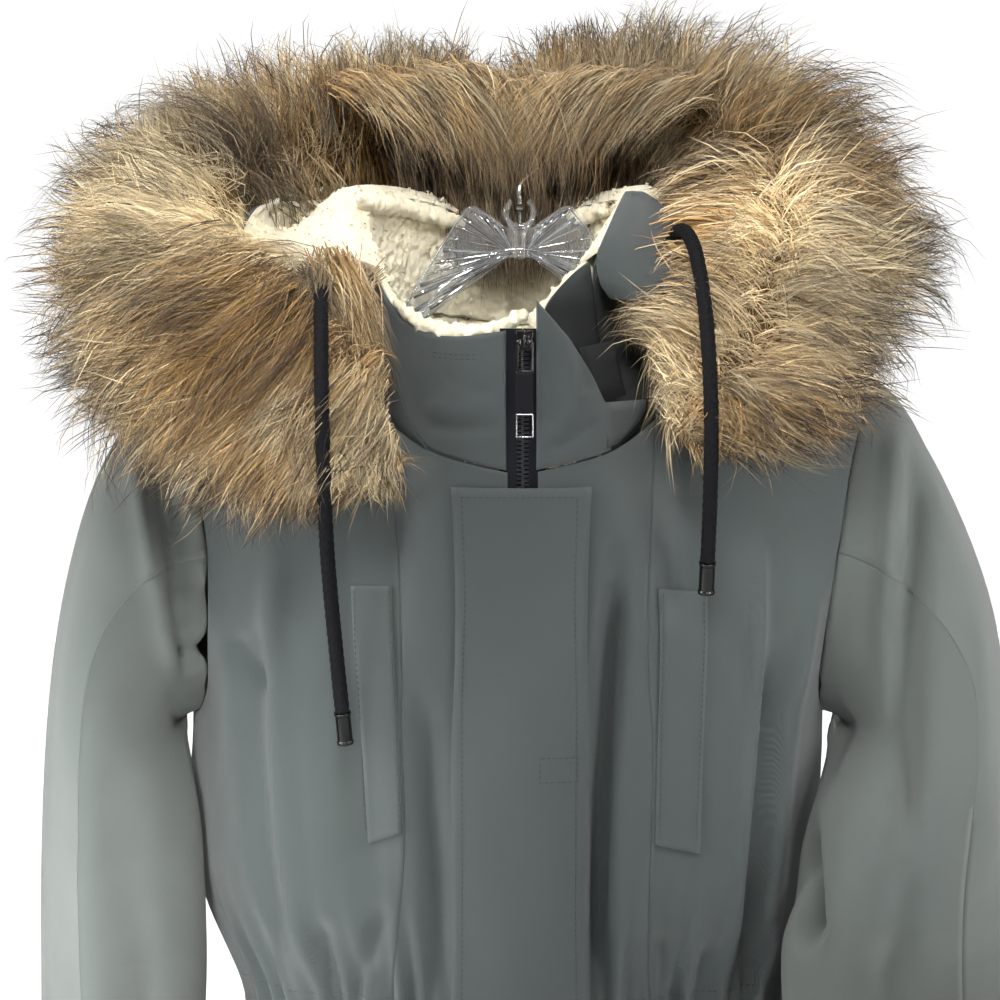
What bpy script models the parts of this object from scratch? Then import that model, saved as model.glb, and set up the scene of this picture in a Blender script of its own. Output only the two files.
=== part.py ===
"""Fur trimmed parka on a clear hanger, hung by the hanger's hook.

Metres, +Z up. The coat's front faces -Y, and "left" and "right" are as seen from the front,
so left is -X. The origin is the underside of the hook's crown. Cloth is a thin wall between
an outer and an inner surface, and neighbouring pieces stand a seam's gap apart.
"""
from collections import namedtuple
import math

import bmesh
import bpy
import numpy as np
from mathutils import Vector
from mathutils.bvhtree import BVHTree

# ---- cloth ----
CLOTH = 0.002
PILE = 0.005
HALF_SEAM = 0.00016
LAYER = 0.0005
LINING_LAYER = 0.0009
LAID_LIFT = 0.0008
FACING_REACH = 2

# ---- body ----
HEM = -0.950
UNDERARM = -0.353
BODY_ROUNDNESS = 2.1
BODY_CORE = (0.0, -0.02, -0.35)
LOWER_HEIGHTS = (-0.950, -0.890, -0.830, -0.775, -0.725, -0.680, -0.638, -0.600, -0.567, -0.540,
                 -0.515, -0.490, -0.465, -0.437, -0.409, -0.381, -0.353)
ARMHOLE_STEPS = 8

Level = namedtuple("Level", "height left right front back middle")
LEVELS = (
    Level(-0.950, 0.226, 0.226, 0.130, 0.122, -0.020),
    Level(-0.780, 0.214, 0.214, 0.124, 0.116, -0.020),
    Level(-0.640, 0.193, 0.191, 0.116, 0.108, -0.020),
    Level(-0.560, 0.167, 0.162, 0.106, 0.098, -0.022),
    Level(-0.515, 0.155, 0.150, 0.100, 0.091, -0.024),
    Level(-0.490, 0.167, 0.156, 0.101, 0.092, -0.025),
    Level(-0.4565, 0.186, 0.166, 0.106, 0.097, -0.026),
    Level(-0.400, 0.192, 0.174, 0.110, 0.101, -0.027),
    Level(-0.353, 0.190, 0.177, 0.111, 0.103, -0.027),
)

# ---- centre front, and the columns between it and the princess seam ----
ZIP_CENTRE = 0.0010
ZIP_EDGE = 0.0085
FLAP_EDGE = 0.0385
CENTRE_COLUMNS = (0.023, FLAP_EDGE, 0.055)
FLAP_WALL = 0.0025
FLAP_TOP = -0.2145
FLAP_END = HEM + 0.003

Princess = namedtuple("Princess", "height left right")
PRINCESS = (
    Princess(-0.950, 0.092, 0.092),
    Princess(-0.700, 0.080, 0.082),
    Princess(-0.515, 0.073, 0.0735),
    Princess(-0.449, 0.067, 0.0714),
    Princess(-0.407, 0.064, 0.0730),
    Princess(-0.353, 0.067, 0.0735),
)
WELT_WIDTH = 0.0240
PRINCESS_NECK_ANGLE = 60.0
SIDE_NECK_ANGLES = (75.0, 90.0, 104.0)
SHOULDER_SHARES = (0.27, 0.54, 0.79, 1.0)
BACK_NECK_ANGLES = (180.0, 161.0, 142.0, 123.0, 104.0)

# ---- neck, as a circle seen from above, its seam rising to the back ----
NECK_RADIUS = 0.088
NECK_MIDDLE = -0.050
NeckRise = namedtuple("NeckRise", "angle height")
NECK_RISE = (
    NeckRise(0.0, -0.2075), NeckRise(34.0, -0.196), NeckRise(56.0, -0.183),
    NeckRise(80.0, -0.150), NeckRise(104.0, -0.118), NeckRise(142.0, -0.122),
    NeckRise(180.0, -0.130),
)

# ---- folds of the body: a line in front view, half width, rise (minus is a trough) ----
Fold = namedtuple("Fold", "top_x top_z low_x low_z width rise")
FRONT_FOLDS = (
    Fold(-0.139, -0.245, -0.122, -0.520, 0.020, 0.007),
    Fold(-0.052, -0.300, -0.047, -0.500, 0.012, -0.005),
    Fold(0.047, -0.290, 0.044, -0.520, 0.011, -0.006),
    Fold(0.128, -0.230, 0.124, -0.490, 0.017, 0.006),
    Fold(-0.108, -0.330, -0.096, -0.515, 0.014, -0.004),
    Fold(0.098, -0.430, 0.100, -0.600, 0.016, -0.004),
    Fold(-0.120, -0.560, -0.150, -0.950, 0.026, 0.009),
    Fold(-0.060, -0.580, -0.065, -0.950, 0.020, -0.006),
    Fold(0.065, -0.570, 0.070, -0.950, 0.020, -0.006),
    Fold(0.125, -0.560, 0.150, -0.950, 0.026, 0.009),
)
BACK_FOLDS = (
    Fold(-0.105, -0.240, -0.080, -0.515, 0.024, 0.006),
    Fold(0.000, -0.300, 0.006, -0.520, 0.022, -0.005),
    Fold(0.110, -0.230, 0.085, -0.505, 0.024, 0.006),
    Fold(-0.085, -0.560, -0.125, -0.950, 0.030, 0.010),
    Fold(0.000, -0.560, 0.004, -0.950, 0.028, -0.008),
    Fold(0.085, -0.560, 0.125, -0.950, 0.030, 0.010),
)

# ---- sleeves: rings from the armhole to the cuff, as the outer and inner ends of each ring,
# its middle in Y, its turn in plan, its depth to front and back, and how far those scoop in ----
Ring = namedtuple("Ring", "outer_x outer_z inner_x inner_z middle_y turn front back scoop")
LEFT_RINGS = (
    Ring(0.200, -0.160, 0.190, -0.353, -0.027, 0.0, 0.070, 0.066, 0.018),
    Ring(0.2220, -0.168, 0.1960, -0.3545, -0.034, 3.0, 0.076, 0.068, 0.010),
    Ring(0.2450, -0.208, 0.1970, -0.3575, -0.048, 6.0, 0.078, 0.064, 0.003),
    Ring(0.2550, -0.253, 0.1925, -0.3630, -0.062, 11.0, 0.074, 0.055, 0.000),
    Ring(0.2625, -0.300, 0.1860, -0.3760, -0.072, 15.0, 0.070, 0.048, 0.000),
    Ring(0.2667, -0.345, 0.1810, -0.3960, -0.079, 18.0, 0.066, 0.045, 0.000),
    Ring(0.2700, -0.398, 0.1780, -0.4270, -0.082, 19.0, 0.063, 0.044, 0.000),
    Ring(0.2718, -0.455, 0.1765, -0.4640, -0.083, 19.0, 0.061, 0.044, 0.000),
    Ring(0.2724, -0.510, 0.1765, -0.5120, -0.082, 18.0, 0.059, 0.046, 0.000),
    Ring(0.2740, -0.580, 0.1850, -0.5800, -0.078, 16.0, 0.056, 0.049, 0.000),
    Ring(0.2775, -0.650, 0.1950, -0.6500, -0.080, 16.0, 0.053, 0.049, 0.000),
    Ring(0.2810, -0.710, 0.2045, -0.7100, -0.081, 15.0, 0.050, 0.047, 0.000),
    Ring(0.2830, -0.765, 0.2115, -0.7650, -0.081, 14.0, 0.048, 0.046, 0.000),
)
RIGHT_RINGS = (
    Ring(0.206, -0.154, 0.177, -0.353, -0.027, 0.0, 0.070, 0.066, 0.014),
    Ring(0.2215, -0.165, 0.1850, -0.3545, -0.034, 5.0, 0.078, 0.066, 0.009),
    Ring(0.2430, -0.206, 0.1850, -0.3585, -0.052, 13.0, 0.080, 0.062, 0.003),
    Ring(0.2610, -0.253, 0.1790, -0.3670, -0.067, 22.0, 0.072, 0.056, 0.000),
    Ring(0.2710, -0.300, 0.1710, -0.3800, -0.078, 28.0, 0.064, 0.052, 0.000),
    Ring(0.2785, -0.345, 0.1620, -0.3980, -0.086, 32.0, 0.058, 0.048, 0.000),
    Ring(0.2855, -0.398, 0.1510, -0.4280, -0.090, 34.0, 0.053, 0.046, 0.000),
    Ring(0.2915, -0.455, 0.1430, -0.4640, -0.092, 34.0, 0.050, 0.045, 0.000),
    Ring(0.2955, -0.510, 0.1430, -0.5120, -0.092, 32.0, 0.050, 0.045, 0.000),
    Ring(0.2985, -0.580, 0.1580, -0.5800, -0.092, 28.0, 0.050, 0.045, 0.000),
    Ring(0.3000, -0.650, 0.1820, -0.6500, -0.091, 22.0, 0.049, 0.045, 0.000),
    Ring(0.2990, -0.710, 0.2020, -0.7100, -0.088, 17.0, 0.048, 0.045, 0.000),
    Ring(0.2960, -0.765, 0.2120, -0.7650, -0.085, 14.0, 0.047, 0.045, 0.000),
)

# ---- stand and hood: bearing from centre front round by the left; each row gives the seam's
# band, the tuck above it, the stand's top edge, and how deep the hood sags behind it ----
Stand = namedtuple("Stand", "bearing band_r band_z tuck_r tuck_z top_r top_z sag")
STANDS = (
    Stand(5.0, 0.0885, -0.185, 0.0890, -0.155, 0.0885, -0.1275, 0.000),
    Stand(20.0, 0.0885, -0.183, 0.0895, -0.156, 0.0890, -0.1315, 0.000),
    Stand(37.0, 0.0890, -0.178, 0.0905, -0.153, 0.0895, -0.1310, 0.000),
    Stand(52.0, 0.0890, -0.168, 0.0910, -0.144, 0.0900, -0.1215, 0.000),
    Stand(66.0, 0.0900, -0.152, 0.0910, -0.124, 0.0910, -0.0980, 0.004),
    Stand(93.0, 0.0905, -0.117, 0.0930, -0.088, 0.0945, -0.0620, 0.014),
    Stand(127.0, 0.0890, -0.104, 0.0860, -0.080, 0.0830, -0.0560, 0.046),
    Stand(151.0, 0.0870, -0.110, 0.0810, -0.086, 0.0765, -0.0640, 0.080),
    Stand(180.0, 0.0870, -0.112, 0.0840, -0.090, 0.0810, -0.0680, 0.090),
    Stand(210.0, 0.0870, -0.108, 0.0820, -0.084, 0.0780, -0.0600, 0.075),
    Stand(253.0, 0.0880, -0.104, 0.0770, -0.082, 0.0680, -0.0560, 0.014),
    Stand(276.0, 0.0880, -0.128, 0.0660, -0.120, 0.0520, -0.0730, 0.003),
    Stand(301.0, 0.0880, -0.158, 0.0640, -0.152, 0.0490, -0.0880, 0.001),
    Stand(325.0, 0.0880, -0.170, 0.0670, -0.163, 0.0530, -0.0960, 0.000),
    Stand(337.0, 0.0860, -0.176, 0.0700, -0.160, 0.0560, -0.1050, 0.000),
    Stand(352.0, 0.0850, -0.180, 0.0740, -0.152, 0.0680, -0.1200, 0.000),
)
LEFT_SEAM = 37.0
RIGHT_SEAM = 325.0
LEFT_FRONT_BEARINGS = (5.4, 11.0, 20.0, 29.0, LEFT_SEAM)
WING_BEARINGS = (RIGHT_SEAM, 333.0, 341.0, 350.0)
STAND_CORE = -0.12
ROLL = 0.009
Pouch = namedtuple("Pouch", "share drop bulge")
POUCH = (Pouch(0.28, 0.72, 0.08), Pouch(0.58, 1.00, 0.20), Pouch(0.84, 0.62, 0.28))
FOOT_LIFT = 0.0008
HOOD_COLUMNS = 26

# ---- right front of the collar: its top edge slopes from the zip to the seam ----
FrontTop = namedtuple("FrontTop", "bearing height")
RIGHT_FRONT_TOP = (
    FrontTop(325.4, -0.1705), FrontTop(328.5, -0.168), FrontTop(332.7, -0.153),
    FrontTop(338.0, -0.140), FrontTop(346.6, -0.1246), FrontTop(354.4, -0.1110),
)
RIGHT_FRONT_BELLY = 0.0015

# ---- fur trim: middle of the pile, half size out from the hood's edge and across,
# and the outward direction's tilt ----
Ruff = namedtuple("Ruff", "place x y z spread loft lean")
RUFFS = (
    Ruff(0.0, -0.070, -0.150, -0.2060, 0.022, 0.018, -60.0),
    Ruff(1.0, -0.108, -0.150, -0.1826, 0.052, 0.022, -62.0),
    Ruff(2.0, -0.1727, -0.126, -0.1469, 0.070, 0.036, -38.0),
    Ruff(3.0, -0.2134, -0.075, -0.0919, 0.056, 0.042, -10.0),
    Ruff(4.0, -0.2008, -0.005, -0.0440, 0.047, 0.042, 20.0),
    Ruff(5.0, -0.1680, 0.048, -0.0220, 0.046, 0.041, 45.0),
    Ruff(6.0, -0.1060, 0.082, -0.0077, 0.047, 0.040, 68.0),
    Ruff(7.0, -0.0500, 0.086, -0.0077, 0.048, 0.040, 72.0),
    Ruff(8.0, -0.0170, 0.087, -0.0170, 0.040, 0.036, 74.0),
    Ruff(9.0, 0.0215, 0.087, -0.0050, 0.047, 0.040, 72.0),
    Ruff(10.0, 0.0710, 0.085, 0.0010, 0.050, 0.042, 68.0),
    Ruff(11.0, 0.1270, 0.058, -0.0077, 0.054, 0.044, 50.0),
    Ruff(12.0, 0.1617, 0.003, -0.0430, 0.061, 0.046, 20.0),
    Ruff(13.0, 0.1590, -0.072, -0.0980, 0.067, 0.046, -5.0),
    Ruff(14.0, 0.1270, -0.130, -0.1520, 0.056, 0.036, -32.0),
    Ruff(15.0, 0.0890, -0.146, -0.1850, 0.024, 0.020, -60.0),
)
HOOD_FIRST = 2.0
HOOD_LAST = 14.0
EDGE_GAP = 0.0006
PARTING = 8.1
PARTING_GAP = 0.07
FUR_RINGS = 30
FUR_SIDES = 16
TUFT = 0.10
FUR_CLEAR = 0.0012

# ---- drawcords: routes by hand, from the hood's edge to the free end ----
CORD_RADIUS = 0.0039
CORD_STEP = 0.012
LEFT_CORD = ((-0.1122, -0.1050, -0.1012), (-0.1102, -0.1255, -0.1062), (-0.1095, -0.1432, -0.1140),
             (-0.1086, -0.1591, -0.1290), (-0.1080, -0.1691, -0.1500), (-0.1074, -0.1756, -0.1720),
             (-0.1068, -0.1773, -0.1950), (-0.1062, -0.1746, -0.2200), (-0.1048, -0.1640, -0.2560),
             (-0.1020, -0.1510, -0.2960), (-0.0985, -0.1405, -0.3377))
RIGHT_CORD = ((0.0838, -0.0700, -0.0822), (0.0885, -0.0866, -0.0735), (0.0925, -0.1024, -0.0745),
              (0.0962, -0.1183, -0.0835), (0.0985, -0.1333, -0.0980), (0.1003, -0.1468, -0.1150),
              (0.1015, -0.1583, -0.1350), (0.1024, -0.1648, -0.1560), (0.1029, -0.1663, -0.1780),
              (0.1030, -0.1633, -0.2000), (0.1028, -0.1560, -0.2270), (0.1023, -0.1470, -0.2540))
END_RADIUS = 0.0048
END_LENGTH = 0.0187
END_BEVEL = 0.0006

# ---- chest pocket welts, by their corners in front view ----
Welt = namedtuple("Welt", "top_in top_out low_in low_out top_in_z top_out_z low_in_z low_out_z")
LEFT_WELT = Welt(0.0714, 0.0940, 0.0655, 0.0860, -0.2695, -0.2700, -0.4068, -0.4147)
RIGHT_WELT = Welt(0.0770, 0.1030, 0.0748, 0.0985, -0.2713, -0.2740, -0.4140, -0.4200)
WELT_COLUMNS = 2
CUT_MARGIN = 0.002

# ---- zip ----
TAPE_HALF = 0.0127
TAPE_TOP = -0.1268
TAPE_WALL = 0.0012
TAPE_GAP = 0.0006
SLIDER_X = 0.0020
SLIDER_WIDTH = 0.0096
SLIDER_TOP = -0.1276
SLIDER_HEIGHT = 0.0112
SLIDER_CLEAR = 0.0010
ARCH_WIDTH = 0.0024
ARCH_HOLE = 0.0028
ARCH_WALL = 0.0012
ARCH_SIDES = 12
HINGE_Y = -0.1432
HINGE_Z = -0.1340
PULL_WIDTH = 0.0098
PULL_BAR = 0.0015
PULL_FRAME = 0.0180
PULL_STRAP = 0.0220
PULL_END = 0.0132
BLOCK_EASE = 0.0006

# ---- hanger: half of its length, as sections from the middle out ----
Arm = namedtuple("Arm", "x middle_y top low thick")
ARMS = (
    Arm(0.0, 0.000, -0.0722, -0.0880, 0.0050),
    Arm(0.010, 0.000, -0.0700, -0.0892, 0.0046),
    Arm(0.020, 0.000, -0.0630, -0.0945, 0.0042),
    Arm(0.029, 0.000, -0.0590, -0.0990, 0.0040),
    Arm(0.037, -0.001, -0.0680, -0.1045, 0.0040),
    Arm(0.046, -0.004, -0.0825, -0.1110, 0.0042),
    Arm(0.066, -0.017, -0.1150, -0.1380, 0.0045),
    Arm(0.076, -0.022, -0.1212, -0.1450, 0.0046),
    Arm(0.086, -0.0262, -0.1234, -0.1500, 0.0048),
    Arm(0.120, -0.0275, -0.1338, -0.1590, 0.0050),
    Arm(0.155, -0.0275, -0.1463, -0.1690, 0.0050),
    Arm(0.180, -0.0272, -0.1555, -0.1750, 0.0046),
    Arm(0.187, -0.0272, -0.1600, -0.1715, 0.0030),
)
ARM_SIDES = 12
ARM_SQUARE = 0.7
RING_MIDDLE = -0.0620
RING_RADIUS = 0.0082
RING_WIRE = 0.0015
RING_OPENING = 70.0
RING_STEPS = 20
BALL_MIDDLE = -0.0594
BALL_RADIUS = 0.0026
PIN_RADIUS = 0.0012
HOOK_WIRE = 0.0017
HOOK_RADIUS = 0.0200
HOOK_START = -50.0
HOOK_END = 195.0
HOOK_STEPS = 12
HOOK_POINTS = 34
SMALL_GAP = 0.0003

# ---- tools ----
SPLINE_STEPS = 24
LEAST_REACH = 0.1


# ---------------------------------------------------------------- tools

def reading(rows, column, where):
    """A column's value at a place between rows, on a smooth curve through them."""
    keys = [row[0] for row in rows]
    values = [getattr(row, column) for row in rows]
    last = len(rows) - 1
    place = min(max(where, keys[0]), keys[last])
    low = max(k for k in range(last) if keys[k] <= place)
    span = keys[low + 1] - keys[low]
    step = (place - keys[low]) / span
    slopes = []
    for k in (low, low + 1):
        before, after = max(k - 1, 0), min(k + 1, last)
        slopes.append((values[after] - values[before]) / (keys[after] - keys[before]) * span)
    rise = values[low + 1] - values[low]
    curve = slopes[0] * step * (1 - step) ** 2 - slopes[1] * step ** 2 * (1 - step)
    return values[low] + rise * step * step * (3 - 2 * step) + curve


def unit(vectors):
    """Vectors of length one, along the last axis."""
    lengths = np.linalg.norm(vectors, axis=-1, keepdims=True)
    return vectors / np.maximum(lengths, 1e-12)


def mixed(a, b, share):
    """The value that lies a share of the way from a to b."""
    return a + (b - a) * share


def spline(points, count):
    """Points at even steps on a smooth curve through the given ones."""
    points = np.array(points, float)
    ends = np.vstack([2 * points[0] - points[1], points, 2 * points[-1] - points[-2]])
    dense = []
    for k in range(1, len(ends) - 2):
        a, b, c, d = ends[k - 1:k + 3]
        for step in np.linspace(0, 1, SPLINE_STEPS, endpoint=False):
            dense.append(0.5 * (2 * b + (c - a) * step + (2 * a - 5 * b + 4 * c - d) * step ** 2
                                + (3 * b - a - 3 * c + d) * step ** 3))
    dense.append(points[-1])
    dense = np.array(dense)
    run = np.concatenate([[0], np.cumsum(np.linalg.norm(np.diff(dense, axis=0), axis=1))])
    places = np.linspace(0, run[-1], count)
    return np.column_stack([np.interp(places, run, dense[:, axis]) for axis in range(3)])


def material(name, colour, roughness, metallic=0.0):
    """A Principled material of one colour."""
    made = bpy.data.materials.new(name)
    made.use_nodes = True
    shader = made.node_tree.nodes["Principled BSDF"]
    shader.inputs["Base Color"].default_value = (*colour, 1.0)
    shader.inputs["Roughness"].default_value = roughness
    shader.inputs["Metallic"].default_value = metallic
    return made


def solid(name, points, faces, look, smooth=True):
    """An object made of points and faces, its faces turned out."""
    mesh = bpy.data.meshes.new(name)
    shape = bmesh.new()
    corners = [shape.verts.new(point) for point in points]
    for face in faces:
        shape.faces.new([corners[index] for index in face])
    bmesh.ops.recalc_face_normals(shape, faces=shape.faces)
    shape.to_mesh(mesh)
    shape.free()
    mesh.materials.append(look)
    if smooth:
        mesh.shade_smooth()
    made = bpy.data.objects.new(name, mesh)
    bpy.context.scene.collection.objects.link(made)
    return made


def wall(name, outer, inner, look):
    """A cloth wall between two grids of points (rows by columns).

    Each four-sided face is cut from its first corner and each end face from its low outer
    corner, so that pieces laid or sewn on each other, their grids running alike, never cross.
    """
    rows, columns = outer.shape[:2]
    count = rows * columns
    faces = []
    for i in range(rows - 1):
        for j in range(columns - 1):
            a, b = i * columns + j, i * columns + j + 1
            c, d = b + columns, a + columns
            halves = [(a, b, c), (a, c, d)]
            faces += halves + [tuple(count + corner for corner in half) for half in halves]
    border = list(range(columns))
    border += [i * columns + columns - 1 for i in range(1, rows)]
    border += [(rows - 1) * columns + j for j in range(columns - 2, -1, -1)]
    border += [i * columns for i in range(rows - 2, 0, -1)]
    points = np.concatenate([outer.reshape(-1, 3), inner.reshape(-1, 3)])
    for a, b in zip(border, border[1:] + border[:1]):
        step = points[b] - points[a]
        low, high = (a, b) if step[np.argmax(abs(step))] > 0 else (b, a)
        faces += [(low, count + low, count + high), (low, count + high, high)]
    return solid(name, points, faces, look)


def sheet_normals(sheet, outside, closed=False):
    """Normals of a grid, on the side that faces away from the given point."""
    across = np.gradient(sheet, axis=1)
    if closed:
        across = (np.roll(sheet, -1, axis=1) - np.roll(sheet, 1, axis=1)) / 2
    normals = unit(np.cross(across, np.gradient(sheet, axis=0)))
    facing = np.sum(normals * (sheet - outside), axis=-1)
    return normals * (1.0 if np.sum(facing) > 0 else -1.0)


def trimmed(sheet):
    """Shifts that draw the border of a grid in from its neighbours by half a seam."""
    shift = np.zeros_like(sheet)
    shift[:, 0] += unit(sheet[:, 1] - sheet[:, 0])
    shift[:, -1] += unit(sheet[:, -2] - sheet[:, -1])
    shift[0] += unit(sheet[1] - sheet[0])
    shift[-1] += unit(sheet[-2] - sheet[-1])
    return shift * HALF_SEAM


def panel(name, sheet, normals, look, depth=0.0, thickness=CLOTH):
    """A piece of cloth: a grid's points, and the same points moved in by its thickness."""
    shift = trimmed(sheet)
    outer = sheet + shift - normals * depth
    inner = outer - normals * thickness
    return wall(name, outer, inner, look)


def tube_solid(name, rings, look):
    """A closed body through rings of points, its ends closed by fans."""
    count, sides = rings.shape[:2]
    points = np.concatenate([rings.reshape(-1, 3), [rings[0].mean(0), rings[-1].mean(0)]])
    faces = []
    for i in range(count - 1):
        for j in range(sides):
            k = (j + 1) % sides
            a, b = i * sides + j, i * sides + k
            faces += [(a, b, b + sides), (a, b + sides, a + sides)]
    start, end = count * sides, count * sides + 1
    for j in range(sides):
        k = (j + 1) % sides
        faces.append((start, k, j))
        faces.append((end, (count - 1) * sides + j, (count - 1) * sides + k))
    solid(name, points, faces, look)


def tree_of(objects):
    """A search tree over the faces of several objects."""
    points, faces = [], []
    for thing in objects:
        first = len(points)
        points += [tuple(vertex.co) for vertex in thing.data.vertices]
        faces += [[first + index for index in face.vertices] for face in thing.data.polygons]
    return BVHTree.FromPolygons(points, faces)


def kept_clear(tree, centre, point, gap):
    """The point, or where its line from the centre comes within a gap of the tree's faces."""
    way = Vector(point) - Vector(centre)
    reach = way.length
    direction = way.normalized()
    place, _, _, distance = tree.ray_cast(Vector(centre), direction, reach + gap)
    if place is None:
        return tuple(point)
    return tuple(Vector(centre) + direction * max(distance - gap, reach * LEAST_REACH))


# ---------------------------------------------------------------- body

def body_point(angle, height):
    """A point of the body's section: angle 0 is centre front, 90 the right side."""
    half = reading(LEVELS, "right" if angle > 0 else "left", height)
    sine, cosine = math.sin(math.radians(angle)), math.cos(math.radians(angle))
    depth = reading(LEVELS, "front" if cosine > 0 else "back", height)
    power = 2 / BODY_ROUNDNESS
    x = math.copysign(half * abs(sine) ** power, sine)
    y = reading(LEVELS, "middle", height) - math.copysign(depth * abs(cosine) ** power, cosine)
    return (x, y, height)


def angle_at(side, x, height):
    """The angle at which the front of the body lies a given way from the middle."""
    half = reading(LEVELS, "right" if side > 0 else "left", height)
    return side * math.degrees(math.asin((x / half) ** (BODY_ROUNDNESS / 2)))


def neck_point(angle, side, radius=NECK_RADIUS):
    """A point of the neck seam, by its angle from centre front."""
    turn = math.radians(angle)
    height = reading(NECK_RISE, "height", angle)
    return (side * radius * math.sin(turn), NECK_MIDDLE - radius * math.cos(turn), height)


def ring_point(ring, side, turn):
    """A point of a sleeve ring: turn 0 is its outer end, 90 the front, 180 the inner end."""
    cosine, sine = math.cos(math.radians(turn)), math.sin(math.radians(turn))
    half = (ring.outer_x - ring.inner_x) / 2
    twist = math.radians(ring.turn)
    depth = ring.front if sine > 0 else ring.back
    swing = (ring.front + ring.back) / 2 * math.sin(twist)
    half = math.sqrt(half * half - swing * swing) / math.cos(twist)
    x = (ring.outer_x + ring.inner_x) / 2 + half * math.cos(twist) * cosine
    x += depth * math.sin(twist) * sine - ring.scoop * abs(sine)
    y = ring.middle_y + half * math.sin(twist) * cosine - depth * math.cos(twist) * sine
    z = (ring.outer_z + ring.inner_z) / 2 + (ring.outer_z - ring.inner_z) / 2 * cosine
    return (side * x, y, z)


def rings_of(side):
    """The sleeve rings of one side."""
    return RIGHT_RINGS if side > 0 else LEFT_RINGS


def folded(sheet, normals, folds):
    """A grid with its folds raised along its normals."""
    lift = np.zeros(sheet.shape[:2])
    x, z = sheet[..., 0], sheet[..., 2]
    for fold in folds:
        share = np.clip((z - fold.top_z) / (fold.low_z - fold.top_z), -1, 2)
        centre = mixed(fold.top_x, fold.low_x, share)
        along = np.clip(np.sin(np.pi * np.clip(share, 0, 1)) * 1.6, 0, 1)
        lift += fold.rise * along * np.exp(-((x - centre) / fold.width) ** 2)
    return sheet + normals * lift[..., None]


def coons(bottom, top, inner, outer):
    """A surface between four edge curves, in rows from the bottom to the top."""
    run = np.concatenate([[0], np.cumsum(np.linalg.norm(np.diff(bottom, axis=0), axis=1))])
    across = (run / run[-1])[None, :, None]
    up = np.linspace(0, 1, len(inner))[:, None, None]
    level = (1 - up) * bottom[None] + up * top[None]
    upright = (1 - across) * inner[:, None] + across * outer[:, None]
    corners = (1 - up) * ((1 - across) * bottom[0] + across * bottom[-1])
    corners = corners + up * ((1 - across) * top[0] + across * top[-1])
    return level + upright - corners


def shoulder_edge(side):
    """The shoulder seam's points, from the neck to the armhole."""
    start = np.array(neck_point(SIDE_NECK_ANGLES[-1], side))
    end = np.array(ring_point(rings_of(side)[0], side, 0))
    return [tuple(mixed(start, end, share)) for share in SHOULDER_SHARES]


def half_sheet(side, angles_at, top):
    """One side of the front or back, from the middle to the side seam and armhole."""
    lower = np.array([[body_point(angle, height) for angle in angles_at(height)]
                      for height in LOWER_HEIGHTS])
    front = abs(angles_at(UNDERARM)[0]) < 90
    steps = range(ARMHOLE_STEPS + 1)
    turns = [180 - (180 if front else -180) * step / ARMHOLE_STEPS for step in steps]
    armhole = np.array([ring_point(rings_of(side)[0], side, turn) for turn in turns])
    top = np.array(top)
    middle = np.linspace(lower[-1, 0], top[0], ARMHOLE_STEPS + 1)
    upper = coons(lower[-1], top, middle, armhole)
    return np.concatenate([lower, upper[1:]])


def neck_angles(side):
    """The angles of the front's corners along the neck seam."""
    across = (ZIP_EDGE + side * ZIP_CENTRE, *CENTRE_COLUMNS)
    angles = [math.degrees(math.asin(x / NECK_RADIUS)) for x in across]
    return angles + [PRINCESS_NECK_ANGLE, *SIDE_NECK_ANGLES]


def front_sheet(side):
    """Half of the front."""
    zip_x = ZIP_EDGE + side * ZIP_CENTRE

    def angles_at(height):
        seam = reading(PRINCESS, "right" if side > 0 else "left", height)
        angles = [angle_at(side, x, height)
                  for x in (zip_x, *CENTRE_COLUMNS, seam, seam + WELT_WIDTH)]
        steps = len(SIDE_NECK_ANGLES) + len(SHOULDER_SHARES) - 1
        return angles + [mixed(angles[-1], side * 90.0, step / steps)
                         for step in range(1, steps + 1)]

    top = [neck_point(angle, side) for angle in neck_angles(side)]
    return half_sheet(side, angles_at, top + shoulder_edge(side))


def back_half(side):
    """Half of the back, from the middle out."""
    steps = len(BACK_NECK_ANGLES) - 1 + len(SHOULDER_SHARES)

    def angles_at(height):
        return [side * mixed(179.999, 90.0, step / steps) for step in range(steps + 1)]

    top = [neck_point(angle, side) for angle in BACK_NECK_ANGLES]
    return half_sheet(side, angles_at, top + shoulder_edge(side))


def sleeve_sheet(side):
    """A sleeve's rings, from the armhole to the cuff."""
    count = 2 * ARMHOLE_STEPS
    sheet = np.array([[ring_point(ring, side, 360 * j / count) for j in range(count)]
                      for ring in rings_of(side)])
    sheet[0, :, 0] += side * 2 * HALF_SEAM
    return sheet


def share_normals(first, second):
    """Give two borders that are sewn together the mean of their normals."""
    mean = unit(first + second)
    first[...] = mean
    second[...] = mean


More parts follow.
